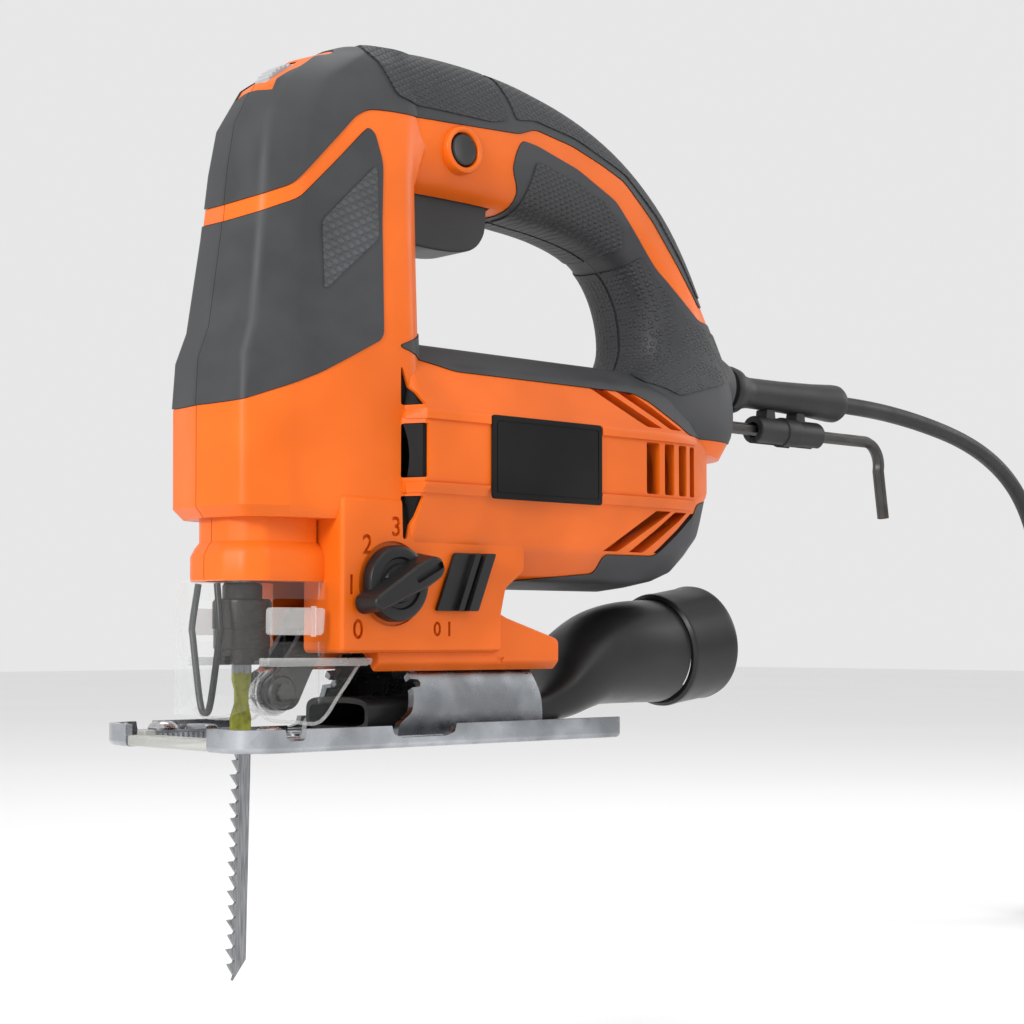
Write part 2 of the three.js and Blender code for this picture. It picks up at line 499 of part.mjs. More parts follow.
/** The arched saddle that the housing tilts round. */
function saddle() {
  const { x0, x1, outer, inner } = ARCH;
  const legs = [-1, 1].map((side) => {
    const y = [side * inner, side * outer].sort((a, b) => a - b);
    return box(x0, x1, ...y, SHOE.plate + GAP, PIVOT_Z);
  });
  const arch = ring(inner, outer, x0, x1, 'x', [0, 0, PIVOT_Z], 64)
    .intersect(box(x0, x1, -30, 30, PIVOT_Z - 0.01, 50));
  const slotArc = box(42.5, 49.5, -18.5, 18.5, 12, 40);
  const notches = [-36, -24, -12, 0, 12, 24, 36].map((angle) =>
    box(x0 - 1, x0 + 3, -1.6, 1.6, 15, 30).rotate([angle, 0, 0]).translate([0, 0, PIVOT_Z]));
  return cut(join(arch, ...legs), slotArc, ...notches);
}
piece('bevel_saddle', saddle(), STEEL);
piece('splinter_insert', plate([[-64.6, -19.7], [-57.6, -19.7], [-57.6, 19.7], [-64.6, 19.7]], 0.3, 3.4), MILKY);
for (const [side, sign] of Object.entries(HALVES)) {
  const screw = turned([[0, -0], [1.6, 0], [1.6, 2.6], [3.6, 2.6], [3.4, 4.6], [2.2, 5.6], [0, 5.8]], 'z',
    [-49, sign * 26, 0], 12);
  piece(`horn_screw_${side}`, screw, STEEL);
}
const bolt = turned([[0, 20.5], [4.6, 20.5], [4.6, 28], [3, 28], [3, 38], [0, 38]], 'z', [46, 0, 0], 12);
piece('bevel_clamp_screw', bolt, DARK_STEEL);

const DUCT_END_Z = 25;
// ---- dust nozzle --------------------------------------------------------------------------
/** A tapering neck from a flat mouth at x0 to a round one at x1. */
function taper(x0, x1, halfWidth, low, high, radius) {
  const flat = rect(-halfWidth, halfWidth, low, high).map(([y, z]) => new THREE.Vector3(x0, y, z));
  const round = arc(0, DUCT_END_Z, radius, 0, 345, 23).map(([y, z]) => new THREE.Vector3(x1, y, z));
  return solid(new ConvexGeometry([...flat, ...round]));
}

/** The flat dust duct that runs under the saddle and rises to the hose port, grown by grow. */
function ductShape(grow) {
  const w = 13.4 + grow;
  const low = 4.5 - grow;
  const high = 11.4 + grow;
  return join(box(-5 - (1.6 - grow), 72, -w, w, low, high), taper(71, 112, w, low, high, 15.2 + grow),
    shaft(15.2 + grow, 111, 127.6 + (1.6 - grow), 'x', [0, 0, DUCT_END_Z], 24));
}

const duct = () => cut(ductShape(1.6), ductShape(0));
piece('dust_duct', duct(), BLACK);
const port = ring(PORT.bore, PORT.radius, 0, PORT.length, 'x', [0, 0, 0])
  .rotate([0, -PORT.tilt, 0]).translate([PORT.x + 2.8, 0, PORT.z]);
piece('hose_port', port, BLACK);

// ---- cord and key -------------------------------------------------------------------------
const sleeve = turned([[0, 152], [6.3, 152], [6.3, 166], [8, 167], [7.2, 172], [5.6, 178], [5.8, 205],
  [6.8, 228.6], [0, 228.6]], 'x', [0, 0, 118], 16);
const sleeveSeat = cut(sleeve, box(100, 166.5, -10, 10, 100, 111));
piece('cord_sleeve', sleeveSeat, BLACK);
const keyHolder = cut(join(
  shaft(5, 182, 216, 'x', [0, 0, 105], 16),
  box(186, 191, -2, 2, 109, 111.6), box(203, 208, -2, 2, 109, 111.4)),
shaft(2.7, 150, 230, 'x', [0, 0, 105], 16));
piece('hex_key_clip', keyHolder, BLACK);
piece('hex_key', rod([[160, 0, 105], [200, 0, 105], [238, 0, 105], [247, 0, 103.6], [252, 0, 99],
  [254.6, 0, 92], [258, 0, 76]], 2.25, 6, 26), DARK_STEEL);

const cordRoute = [CORD.exit, [245, 0, 118], [265, 0, 117], [290, 0, 114], [315, 0, 109.5],
  [340, 1, 101], [362, 4, 88], [381, 9, 68], [395, 15, 40], [403, 21, 8], [405, 28, -26],
  [404, 35, -52], [405, 42, -74], [413, 47, -87.5], [436, 48.6, -91.5]];
piece('cord_run', rod(cordRoute, CORD.radius, 8, 28), BLACK);
piece('cord_coil', ring(COIL.inner, COIL.outer, FLOOR_Z, FLOOR_Z + COIL.height, 'z', [COIL.x, COIL.y, 0], 32), BLACK);

/** The plug that lies on the coil, with its two pins. */
function plug() {
  const bodyProfile = [[0, 0], [4, 0], [5.5, 16], [13, 24], [13.4, 40], [0, 40]];
  const pins = [-9.5, 9.5].map((x) => shaft(2.2, 39, 58, 'y', [x, 0, 0], 12));
  return join(turned(bodyProfile, 'y', [0, 0, 0], 20), ...pins)
    .translate([COIL.x - 20, -22, FLOOR_Z + COIL.height + 13.4 + GAP]);
}
piece('plug', plug(), BLACK);

export default assembly;
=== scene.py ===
"""A corded jigsaw with a D-shaped handle: the visible pieces, their finishes, the light and the camera.

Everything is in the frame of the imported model: X runs from the nose to the cord, Y to the tool's
right, Z up, and the origin is on the sole of the shoe. Shapes are worked out in millimetres and
written to their meshes in metres.
"""
import json
import logging
import math
from dataclasses import dataclass, field
from enum import Enum
from typing import Callable, Iterable, Optional, Sequence

import bmesh
import bpy
from mathutils import Matrix, Vector


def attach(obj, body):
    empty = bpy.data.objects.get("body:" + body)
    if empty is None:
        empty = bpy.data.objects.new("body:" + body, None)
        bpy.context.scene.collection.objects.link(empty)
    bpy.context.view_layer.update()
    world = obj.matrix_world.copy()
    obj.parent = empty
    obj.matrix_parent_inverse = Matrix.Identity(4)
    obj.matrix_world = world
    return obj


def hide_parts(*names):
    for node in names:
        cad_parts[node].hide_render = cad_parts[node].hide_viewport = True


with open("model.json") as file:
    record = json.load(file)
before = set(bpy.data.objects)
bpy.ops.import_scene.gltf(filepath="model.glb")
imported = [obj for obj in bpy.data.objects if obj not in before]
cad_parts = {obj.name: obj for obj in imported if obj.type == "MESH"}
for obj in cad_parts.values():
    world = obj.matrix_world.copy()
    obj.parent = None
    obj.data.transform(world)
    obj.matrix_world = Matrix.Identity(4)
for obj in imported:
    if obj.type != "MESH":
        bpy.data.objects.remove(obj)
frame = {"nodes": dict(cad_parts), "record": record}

log = logging.getLogger("jigsaw")

MM = 0.001                    # one millimetre in metres
GAP = 0.3                     # clearance between neighbouring pieces
SKIN = 1.6                    # thickness of the soft overmould
FLOOR_Z = -95.0               # the blade hangs below the shoe, so the floor is lower than the sole

Point = tuple[float, float]
Outline = Sequence[Point]


# ---------------------------------------------------------------------------------------------
# Mesh work
# ---------------------------------------------------------------------------------------------
class Axis(Enum):
    """The direction that a solid is drawn along, with the matrix from its own outline plane."""

    X = Matrix(((0, 0, 1), (1, 0, 0), (0, 1, 0)))
    Y = Matrix(((1, 0, 0), (0, 0, -1), (0, 1, 0)))
    Z = Matrix.Identity(3)


def smooth_path(points: Sequence[Sequence[float]], steps: int = 8) -> list[Vector]:
    """Runs a smooth curve through a few points.

    Args:
        points: the places that the curve passes, in order.
        steps: how many stretches the curve has between two of them.

    Returns:
        The points of the curve, both ends included.
    """
    known = [Vector(p) for p in points]
    ends = [known[0] * 2 - known[1], *known, known[-1] * 2 - known[-2]]
    curve = []
    for before, start, stop, after in zip(ends, ends[1:], ends[2:], ends[3:]):
        for i in range(steps):
            t = i / steps
            curve.append(0.5 * (2 * start + (stop - before) * t
                                + (2 * before - 5 * start + 4 * stop - after) * t ** 2
                                + (3 * start - before - 3 * stop + after) * t ** 3))
    return [*curve, known[-1]]


def rounded(outline: Outline, radius: float, steps: int = 4) -> list[Point]:
    """Rounds the corners of a closed outline.

    Args:
        outline: the corners, in order.
        radius: how far each round reaches along its two sides, less where a side is short.
        steps: how many stretches each round has.

    Returns:
        The points of the rounded outline.
    """
    made = []
    count = len(outline)
    for i, corner in enumerate(outline):
        here = Vector(corner)
        before, after = Vector(outline[i - 1]), Vector(outline[(i + 1) % count])
        reach = min(radius, (before - here).length * 0.45, (after - here).length * 0.45)
        start = here + (before - here).normalized() * reach
        stop = here + (after - here).normalized() * reach
        for k in range(steps + 1):
            t = k / steps
            made.append(tuple((1 - t) ** 2 * start + 2 * t * (1 - t) * here + t * t * stop))
    return made


def arc(centre: Point, radius: float, first: float, last: float, steps: int) -> list[Point]:
    """Points of an arc, from one angle to another in degrees, both ends included."""
    angles = (math.radians(first + (last - first) * i / steps) for i in range(steps + 1))
    return [(centre[0] + radius * math.cos(a), centre[1] + radius * math.sin(a)) for a in angles]


def circle(centre: Point, radius: float, steps: int = 32) -> list[Point]:
    """A closed circle as an outline."""
    return arc(centre, radius, 0, 360 * (steps - 1) / steps, steps - 1)


def smooth_outline(outline: Outline, steps: int = 4) -> list[Point]:
    """Runs a smooth curve through the points of a closed outline, its first and last side straight."""
    return [tuple(p.xy) for p in smooth_path([(a, b, 0) for a, b in outline], steps)]


def slanted(x0: float, x1: float, z0: float, z1: float, lean: float) -> list[Point]:
    """A four-cornered outline whose top is shifted by lean."""
    return [(x0, z0), (x1, z0), (x1 + lean, z1), (x0 + lean, z1)]


def lettering(text: str, size: float, x: float, z: float, y: float, depth: float) -> "Body":
    """Raises plain figures on the left side of the tool, to cut or to build with.

    Args:
        text: the figures.
        size: their height, in millimetres.
        x: the middle of the text along the tool.
        z: its middle height.
        y: the plane that its inner face lies in.
        depth: how far it is drawn out to the left of that plane.

    Returns:
        The figures as a closed body.
    """
    curve = bpy.data.curves.new("figures", "FONT")
    curve.body, curve.size, curve.extrude = text, size * 1.38, depth / 2
    curve.align_x, curve.align_y, curve.resolution_u = "CENTER", "CENTER", 4
    curve.offset = 0.14
    holder = bpy.data.objects.new("figures", curve)
    bpy.context.collection.objects.link(holder)
    bpy.context.view_layer.update()
    mesh = bpy.data.meshes.new_from_object(
        holder.evaluated_get(bpy.context.evaluated_depsgraph_get()))
    bm = bmesh.new()
    bm.from_mesh(mesh)
    bpy.data.objects.remove(holder)
    bpy.data.curves.remove(curve)
    bpy.data.meshes.remove(mesh)
    bmesh.ops.remove_doubles(bm, verts=bm.verts, dist=1e-4)
    place = Matrix.Translation((x, y - depth / 2, z)) @ Matrix.Rotation(math.pi / 2, 4, "X")
    bmesh.ops.transform(bm, matrix=place, verts=bm.verts)
    return Body(bm)


class Body:
    """A closed mesh in millimetres that operators and cuts shape step by step."""

    def __init__(self, shape: Optional[bmesh.types.BMesh] = None) -> None:
        """Starts from a bmesh, or from nothing."""
        self.bm = shape or bmesh.new()

    @classmethod
    def drawn(cls, outline: Outline, low: float, high: float, axis: Axis = Axis.Z,
              taper: float = 1.0) -> "Body":
        """Draws an outline out into a solid.

        Args:
            outline: (x, y) along Z, (x, z) along Y or (y, z) along X.
            low: where the solid starts on its axis.
            high: where it ends.
            axis: the direction it is drawn along.
            taper: the size of its far end over that of its near one.

        Returns:
            The solid.
        """
        bm = bmesh.new()
        if axis is Axis.Y:
            low, high = -high, -low
        face = bm.faces.new([bm.verts.new((a, b, low)) for a, b in outline])
        far = bmesh.ops.extrude_face_region(bm, geom=[face])
        moved = [v for v in far["geom"] if isinstance(v, bmesh.types.BMVert)]
        bmesh.ops.translate(bm, verts=moved, vec=(0, 0, high - low))
        if taper != 1.0:
            middle = sum((v.co for v in moved), Vector()) / len(moved)
            bmesh.ops.scale(bm, verts=moved, vec=(taper, taper, 1),
                            space=Matrix.Translation(-middle))
        bmesh.ops.transform(bm, matrix=axis.value.to_4x4(), verts=bm.verts)
        bmesh.ops.recalc_face_normals(bm, faces=bm.faces)
        return cls(bm)

    @classmethod
    def block(cls, x: Point, y: Point, z: Point) -> "Body":
        """A plain block between two places on each axis, to cut or to build with."""
        return cls.drawn([(x[0], y[0]), (x[1], y[0]), (x[1], y[1]), (x[0], y[1])], *z)

    @classmethod
    def turned(cls, profile: Outline, centre: Sequence[float], axis: Axis = Axis.Z,
               steps: int = 48) -> "Body":
        """Spins a profile of (radius, height) points round an axis.

        Args:
            profile: the points in order; its ends are closed at the axis.
            centre: a point on the axis, from which heights are measured.
            axis: the direction of the axis.
            steps: how many stretches the full turn has.

        Returns:
            The turned solid.
        """
        bm = bmesh.new()
        points = [bm.verts.new((r, 0, h)) for r, h in profile]
        edges = [bm.edges.new(pair) for pair in zip(points, points[1:])]
        bmesh.ops.spin(bm, geom=[*points, *edges], axis=(0, 0, 1), cent=(0, 0, 0),
                       angle=math.tau, steps=steps, use_merge=True)
        bmesh.ops.remove_doubles(bm, verts=bm.verts, dist=1e-4)
        bmesh.ops.holes_fill(bm, edges=[e for e in bm.edges if e.is_boundary], sides=0)
        turn = {Axis.X: Matrix.Rotation(math.pi / 2, 4, "Y"),
                Axis.Y: Matrix.Rotation(-math.pi / 2, 4, "X")}.get(axis, Matrix.Identity(4))
        bmesh.ops.transform(bm, matrix=Matrix.Translation(centre) @ turn, verts=bm.verts)
        bmesh.ops.recalc_face_normals(bm, faces=bm.faces)
        return cls(bm)

    @classmethod
    def lofted(cls, rings: Sequence[Sequence[Vector]], closed: bool = False) -> "Body":
        """Bridges rings that have the same number of points, and closes the two ends.

        Args:
            rings: the sections, in order along the solid.
            closed: True if the last ring joins on to the first.

        Returns:
            The solid.
        """
        bm = bmesh.new()
        loops = []
        for ring in rings:
            verts = [bm.verts.new(p) for p in ring]
            loops.append([bm.edges.new((verts[i - 1], verts[i])) for i in range(len(verts))])
        pairs = list(zip(loops, loops[1:]))
        if closed:
            pairs.append((loops[-1], loops[0]))
        for first, second in pairs:
            bmesh.ops.bridge_loops(bm, edges=[*first, *second])
        if not closed:
            bmesh.ops.holes_fill(bm, edges=[e for e in bm.edges if e.is_boundary], sides=0)
        bmesh.ops.recalc_face_normals(bm, faces=bm.faces)
        return cls(bm)

    @classmethod
    def tube(cls, path: Sequence[Vector], radius: float | Callable[[float], float],
             sides: int = 16, closed: bool = False) -> "Body":
        """A round rod along a path.

        Args:
            path: the points of its middle line.
            radius: its radius, or a function of the share of the way along it.
            sides: how many faces go round it.
            closed: True for a path that runs back into its own start.

        Returns:
            The rod.
        """
        rings = []
        last = len(path) - 1
        lean = Vector((0, 0, 1)) if abs((path[1] - path[0]).normalized().z) < 0.9 else Vector((0, 1, 0))
        for i, here in enumerate(path):
            if closed:
                ahead = path[(i + 1) % len(path)] - path[i - 1]
            else:
                ahead = path[min(i + 1, last)] - path[max(i - 1, 0)]
            ahead.normalize()
            lean = (lean - ahead * lean.dot(ahead)).normalized()
            across = ahead.cross(lean)
            r = radius(i / last) if callable(radius) else radius
            rings.append([here + (lean * math.cos(a) + across * math.sin(a)) * r
                          for a in (math.tau * k / sides for k in range(sides))])
        return cls.lofted(rings, closed)

    def copy(self) -> "Body":
        """A second body of the same shape."""
        return Body(self.bm.copy())

    def moved(self, x: float = 0, y: float = 0, z: float = 0) -> "Body":
        """Shifts the body."""
        bmesh.ops.translate(self.bm, verts=self.bm.verts, vec=(x, y, z))
        return self

    def turned_by(self, degrees: float, axis: str, centre: Sequence[float] = (0, 0, 0)) -> "Body":
        """Turns the body about X, Y or Z through a centre."""
        bmesh.ops.rotate(self.bm, verts=self.bm.verts, cent=centre,
                         matrix=Matrix.Rotation(math.radians(degrees), 3, axis))
        return self

    def mirrored(self) -> "Body":
        """The same body on the other side of the parting plane."""
        other = self.copy()
        bmesh.ops.scale(other.bm, verts=other.bm.verts, vec=(1, -1, 1))
        bmesh.ops.recalc_face_normals(other.bm, faces=other.bm.faces)
        return other

    def softened(self, width: float, segments: int = 2, angle: float = 30) -> "Body":
        """Rounds the edges that are sharper than an angle.

        Args:
            width: how far the round reaches on each side of an edge.
            segments: how many faces go across it.
            angle: the least angle between two faces, in degrees.

        Returns:
            The body itself.
        """
        least = math.radians(angle)
        edges = [e for e in self.bm.edges if len(e.link_faces) == 2 and e.calc_face_angle(0) > least]
        bmesh.ops.bevel(self.bm, geom=edges, offset=width, offset_type="OFFSET", segments=segments,
                        profile=0.5, affect="EDGES", clamp_overlap=True, material=-1)
        return self

    def joined(self, *others: "Body") -> "Body":
        """Adds other bodies to this one without cutting where they meet."""
        for other in others:
            mesh = bpy.data.meshes.new("part")
            other.bm.to_mesh(mesh)
            self.bm.from_mesh(mesh)
            bpy.data.meshes.remove(mesh)
        return self

    def _boolean(self, others: Iterable["Body"], operation: str) -> "Body":
        """Works one boolean with each of the other bodies in turn."""
        mesh = bpy.data.meshes.new("work")
        self.bm.to_mesh(mesh)
        holder = bpy.data.objects.new("work", mesh)
        bpy.context.collection.objects.link(holder)
        tools = []
        for other in others:
            tool_mesh = bpy.data.meshes.new("tool")
            other.bm.to_mesh(tool_mesh)
            tool = bpy.data.objects.new("tool", tool_mesh)
            bpy.context.collection.objects.link(tool)
            tools.append(tool)
            step = holder.modifiers.new("step", "BOOLEAN")
            step.operation = operation
            step.solver = "MANIFOLD"
            step.object = tool
        bpy.context.view_layer.update()
        result = bpy.data.meshes.new_from_object(
            holder.evaluated_get(bpy.context.evaluated_depsgraph_get()))
        made = bmesh.new()
        made.from_mesh(result)
        for thing in (holder, *tools):
            old = thing.data
            bpy.data.objects.remove(thing)
            bpy.data.meshes.remove(old)
        bpy.data.meshes.remove(result)
        self.bm.free()
        self.bm = made
        return self

    def cut(self, *others: "Body") -> "Body":
        """Cuts other bodies away."""
        return self._boolean(others, "DIFFERENCE")

    def fused(self, *others: "Body") -> "Body":
        """Joins other bodies into one closed skin."""
        return self._boolean(others, "UNION")

    def kept(self, *others: "Body") -> "Body":
        """Keeps what also lies inside the other bodies."""
        return self._boolean(others, "INTERSECT")

    def cleaned(self, angle: float = 1.0) -> "Body":
        """Merges the slivers that cuts leave, so that edges can be rounded."""
        bmesh.ops.remove_doubles(self.bm, verts=self.bm.verts, dist=0.02)
        bmesh.ops.dissolve_limit(self.bm, angle_limit=math.radians(angle),
                                 verts=self.bm.verts, edges=self.bm.edges)
        return self

    def piece(self, name: str, body: str, slot: str, finish: bpy.types.Material,
              replaces: Sequence[str] = (), sharp: float = 35, bevel: float = 0) -> bpy.types.Object:
        """Makes the finished piece.

        Args:
            name: the piece's name.
            body: the moving body that it rides on.
            slot: the record's material slot for the piece; not used.
            finish: its material.
            replaces: the plain solids that it stands for.
            sharp: the angle past which an edge stays crisp, in degrees.
            bevel: the width of a finishing round on its edges, or 0.

        Returns:
            The new object.
        """
        bmesh.ops.scale(self.bm, verts=self.bm.verts, vec=(MM, MM, MM))
        mesh = bpy.data.meshes.new(name)
        self.bm.to_mesh(mesh)
        self.bm.free()
        made = bpy.data.objects.new(name, mesh)
        bpy.context.collection.objects.link(made)
        mesh.materials.clear()
        mesh.materials.append(finish)
        for face in mesh.polygons:
            face.use_smooth = True
            face.material_index = 0
        if bevel:
            rim = made.modifiers.new("rim", "BEVEL")
            rim.width = bevel * MM
            rim.segments = 2
            rim.limit_method = "ANGLE"
            rim.angle_limit = math.radians(sharp)
            rim.harden_normals = True
        else:
            mesh.set_sharp_from_angle(angle=math.radians(sharp))
        level = made.modifiers.new("flat faces", "WEIGHTED_NORMAL")
        level.mode, level.keep_sharp = "FACE_AREA", True
        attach(made, body)
        if replaces:
            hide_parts(*replaces)
        log.info("%s: %d faces", name, len(mesh.polygons))
        return made


# ---------------------------------------------------------------------------------------------
# Finishes
# ---------------------------------------------------------------------------------------------
Colour = tuple[float, float, float]


class Wire:
    """A socket of a shader graph that arithmetic can be written with."""

    def __init__(self, graph: "Graph", socket: bpy.types.NodeSocket) -> None:
        """Keeps the socket and the graph that it is in."""
        self.graph, self.socket = graph, socket

    def _sum(self, operation: str, *values: "Wire | float") -> "Wire":
        """Adds a Math node that works on the values."""
        return self.graph.node("ShaderNodeMath", {"operation": operation}, dict(enumerate(values)))

    def __add__(self, other: "Wire | float") -> "Wire":
        """The sum."""
        return self._sum("ADD", self, other)

    def __sub__(self, other: "Wire | float") -> "Wire":
        """The difference."""
        return self._sum("SUBTRACT", self, other)

    def __rsub__(self, other: float) -> "Wire":
        """A number less this."""
        return self._sum("SUBTRACT", other, self)

    def __mul__(self, other: "Wire | float") -> "Wire":
        """The product."""
        return self._sum("MULTIPLY", self, other)

    def __truediv__(self, other: "Wire | float") -> "Wire":
        """The quotient."""
        return self._sum("DIVIDE", self, other)

    __radd__, __rmul__ = __add__, __mul__

    def above(self, level: float) -> "Wire":
        """1 where this is more than level, and 0 elsewhere."""
        return self._sum("GREATER_THAN", self, level)

    def below(self, level: float) -> "Wire":
        """1 where this is less than level, and 0 elsewhere."""
        return self._sum("LESS_THAN", self, level)

    def ramp(self, low: float, high: float, to_low: float = 0.0, to_high: float = 1.0) -> "Wire":
        """Stretches low..high to to_low..to_high, held at the two ends."""
        return self.graph.node("ShaderNodeMapRange", {"clamp": True}, {
            "Value": self, "From Min": low, "From Max": high, "To Min": to_low, "To Max": to_high})


class Graph:
    """The node graph of one material, built round a Principled shader."""

    def __init__(self, name: str) -> None:
        """Makes an empty material with its shader and its output."""
        self.material = bpy.data.materials.new(name)
        self.material.use_nodes = True
        self.tree = self.material.node_tree
        self.tree.nodes.clear()
        self.shader = self.tree.nodes.new("ShaderNodeBsdfPrincipled")
        output = self.tree.nodes.new("ShaderNodeOutputMaterial")
        self.tree.links.new(self.shader.outputs[0], output.inputs["Surface"])
        place = self.tree.nodes.new("ShaderNodeTexCoord")
        self.place = Wire(self, place.outputs["Object"])

    def plug(self, socket: bpy.types.NodeSocket, value: object) -> None:
        """Links a wire to a socket, or sets a number or a colour on it."""
        if isinstance(value, Wire):
            self.tree.links.new(value.socket, socket)
        elif isinstance(value, tuple) and len(value) == 3 and socket.type == "RGBA":
            socket.default_value = (*value, 1)
        else:
            socket.default_value = value

    def node(self, kind: str, settings: Optional[dict] = None, sockets: Optional[dict] = None,
             output: int | str = 0) -> Wire:
        """Adds a node.

        Args:
            kind: the node's type.
            settings: its own properties, or the stops of a ramp, which are set first.
            sockets: the values or wires of its inputs, by name or number.
            output: which of its outputs is wanted.

        Returns:
            That output.
        """
        made = self.tree.nodes.new(kind)
        for key, value in (settings or {}).items():
            if key == "stops":
                ramp = made.color_ramp
                while len(ramp.elements) < len(value):
                    ramp.elements.new(0.5)
                for element, (place, colour) in zip(ramp.elements, value):
                    element.position, element.color = place, (*colour, 1)
            else:
                setattr(made, key, value)
        for key, value in (sockets or {}).items():
            self.plug(made.inputs[key], value)
        return Wire(self, made.outputs[output])

    def set(self, **sockets: object) -> None:
        """Sets sockets of the shader, with underscores for the spaces in their names."""
        for key, value in sockets.items():
            self.plug(self.shader.inputs[key.replace("_", " ")], value)

    def noise(self, size: float, detail: float = 3, place: Optional[Wire] = None) -> Wire:
        """Soft noise whose lumps are about size millimetres."""
        return self.node("ShaderNodeTexNoise", {}, {
            "Vector": place or self.place, "Scale": 1 / (size * MM), "Detail": detail})

    def cells(self, size: float, feature: str = "F1", random: float = 1.0, output: str = "Distance",
              place: Optional[Wire] = None) -> Wire:
        """Cells about size millimetres across."""
        return self.node("ShaderNodeTexVoronoi", {"feature": feature}, {
            "Vector": place or self.place, "Scale": 1 / (size * MM), "Randomness": random}, output)

    def scaled(self, x: float, y: float, z: float, degrees: float = 0) -> Wire:
        """The place on the piece, stretched along each axis and turned about Y."""
        return self.node("ShaderNodeMapping", {}, {
            "Vector": self.place, "Scale": (x, y, z), "Rotation": (0, math.radians(degrees), 0)})

    def along(self, axis: str) -> Wire:
        """One coordinate of the place, in metres."""
        return self.node("ShaderNodeSeparateXYZ", {}, {"Vector": self.place}, axis)

    def mix(self, share: Wire | float, first: object, second: object) -> Wire:
        """A colour between two others."""
        made = self.tree.nodes.new("ShaderNodeMix")
        made.data_type = "RGBA"
        for name, value in (("Factor_Float", share), ("A_Color", first), ("B_Color", second)):
            self.plug(next(s for s in made.inputs if s.identifier == name), value)
        return Wire(self, next(s for s in made.outputs if s.identifier == "Result_Color"))

    def bump(self, height: Wire, depth: float, strength: float = 1.0,
             under: Optional[Wire] = None) -> Wire:
        """A raised grain.

        Args:
            height: the grain, from 0 to 1.
            depth: how far it stands out, in millimetres.
            strength: how much of it shows.
            under: another grain below this one.

        Returns:
            The normal that the shader reads.
        """
        sockets = {"Height": height, "Distance": depth * MM, "Strength": strength}
        if under:
            sockets["Normal"] = under
        return self.node("ShaderNodeBump", {}, sockets)


class Grain(Enum):
    """The pattern that is moulded into a soft grip."""

    PLAIN = "plain"
    DOTS = "dots"
    HEXAGONS = "hexagons"
    PEBBLES = "pebbles"


@dataclass(frozen=True)
class Plastic:
    """A moulded plastic with a fine spark-eroded grain.

    Attributes:
        name: the finish's name.
        colour: its main colour.
        roughness: how dull it is.
        grain: the size of the eroded grain, in millimetres.
        depth: how deep that grain is, in millimetres.
        coat: the weight of a clear coat.
        gloss: how strongly it mirrors, from 0 to 1.
    """

    name: str
    colour: Colour
    roughness: float = 0.4
    grain: float = 0.35
    depth: float = 0.02
    coat: float = 0.0
    gloss: float = 0.3

    def material(self) -> bpy.types.Material:
        """Builds the material."""
        g = Graph(self.name)
        cloud = g.noise(38, 2)
        fine = g.noise(self.grain, 2)
        smudge = g.noise(9, 4)
        dark = tuple(c * 0.86 for c in self.colour)
        light = tuple(min(1.0, c * 1.06 + 0.004) for c in self.colour)
        g.set(Base_Color=g.mix(cloud.ramp(0.35, 0.65), dark, light),
              Roughness=smudge.ramp(0.3, 0.7, self.roughness - 0.05, self.roughness + 0.07),
              Normal=g.bump(fine, self.depth, 0.6), Coat_Weight=self.coat, Coat_Roughness=0.25,
              Specular_IOR_Level=self.gloss)
        return g.material


@dataclass(frozen=True)
class SoftGrip:
    """The dark soft overmould, plain or with a grip pattern pressed into it.

    Attributes:
        name: the finish's name.
        grain: the pattern in it.
        pitch: the distance from one raised spot to the next, in millimetres.
    """

    name: str
    grain: Grain = Grain.PLAIN
    pitch: float = 1.5
    colour: Colour = (0.034, 0.035, 0.038)

    def material(self) -> bpy.types.Material:
        """Builds the material."""
        g = Graph(self.name)
        fine = g.noise(0.3, 2)
        worn = g.noise(14, 4)
        colour = g.mix(worn.ramp(0.35, 0.7), tuple(c * 0.82 for c in self.colour),
                       tuple(c * 1.22 for c in self.colour))
        normal = g.bump(fine, 0.03, 0.55)
        if self.grain is not Grain.PLAIN:
            deep = self.grain is Grain.PEBBLES
            spots = g.cells(self.pitch, random=0.3 if deep else 0.0,
                            place=g.scaled(1, 1 if deep else 0.001, 1.155, 30))
            raised = spots.ramp(0.28, 0.46, 1, 0)
            normal = g.bump(raised, 0.34, 1.0, under=normal)
            # Painted shade: the hollows between the raised spots are darkened part way towards near black.
            colour = g.mix(raised.ramp(0, 1, 0.35, 0), colour, (0.016, 0.017, 0.019))
        g.set(Base_Color=colour, Roughness=worn.ramp(0.3, 0.7, 0.5, 0.62), Normal=normal,
              Specular_IOR_Level=0.42)
        return g.material


class SteelLook(Enum):
    """How a metal has been worked."""

    ZINC = "zinc"
    TURNED = "turned"
    BRUSHED = "brushed"
    BLACKENED = "blackened"
    CAST = "cast"
    LAMINATED = "laminated"
    WOUND = "wound"


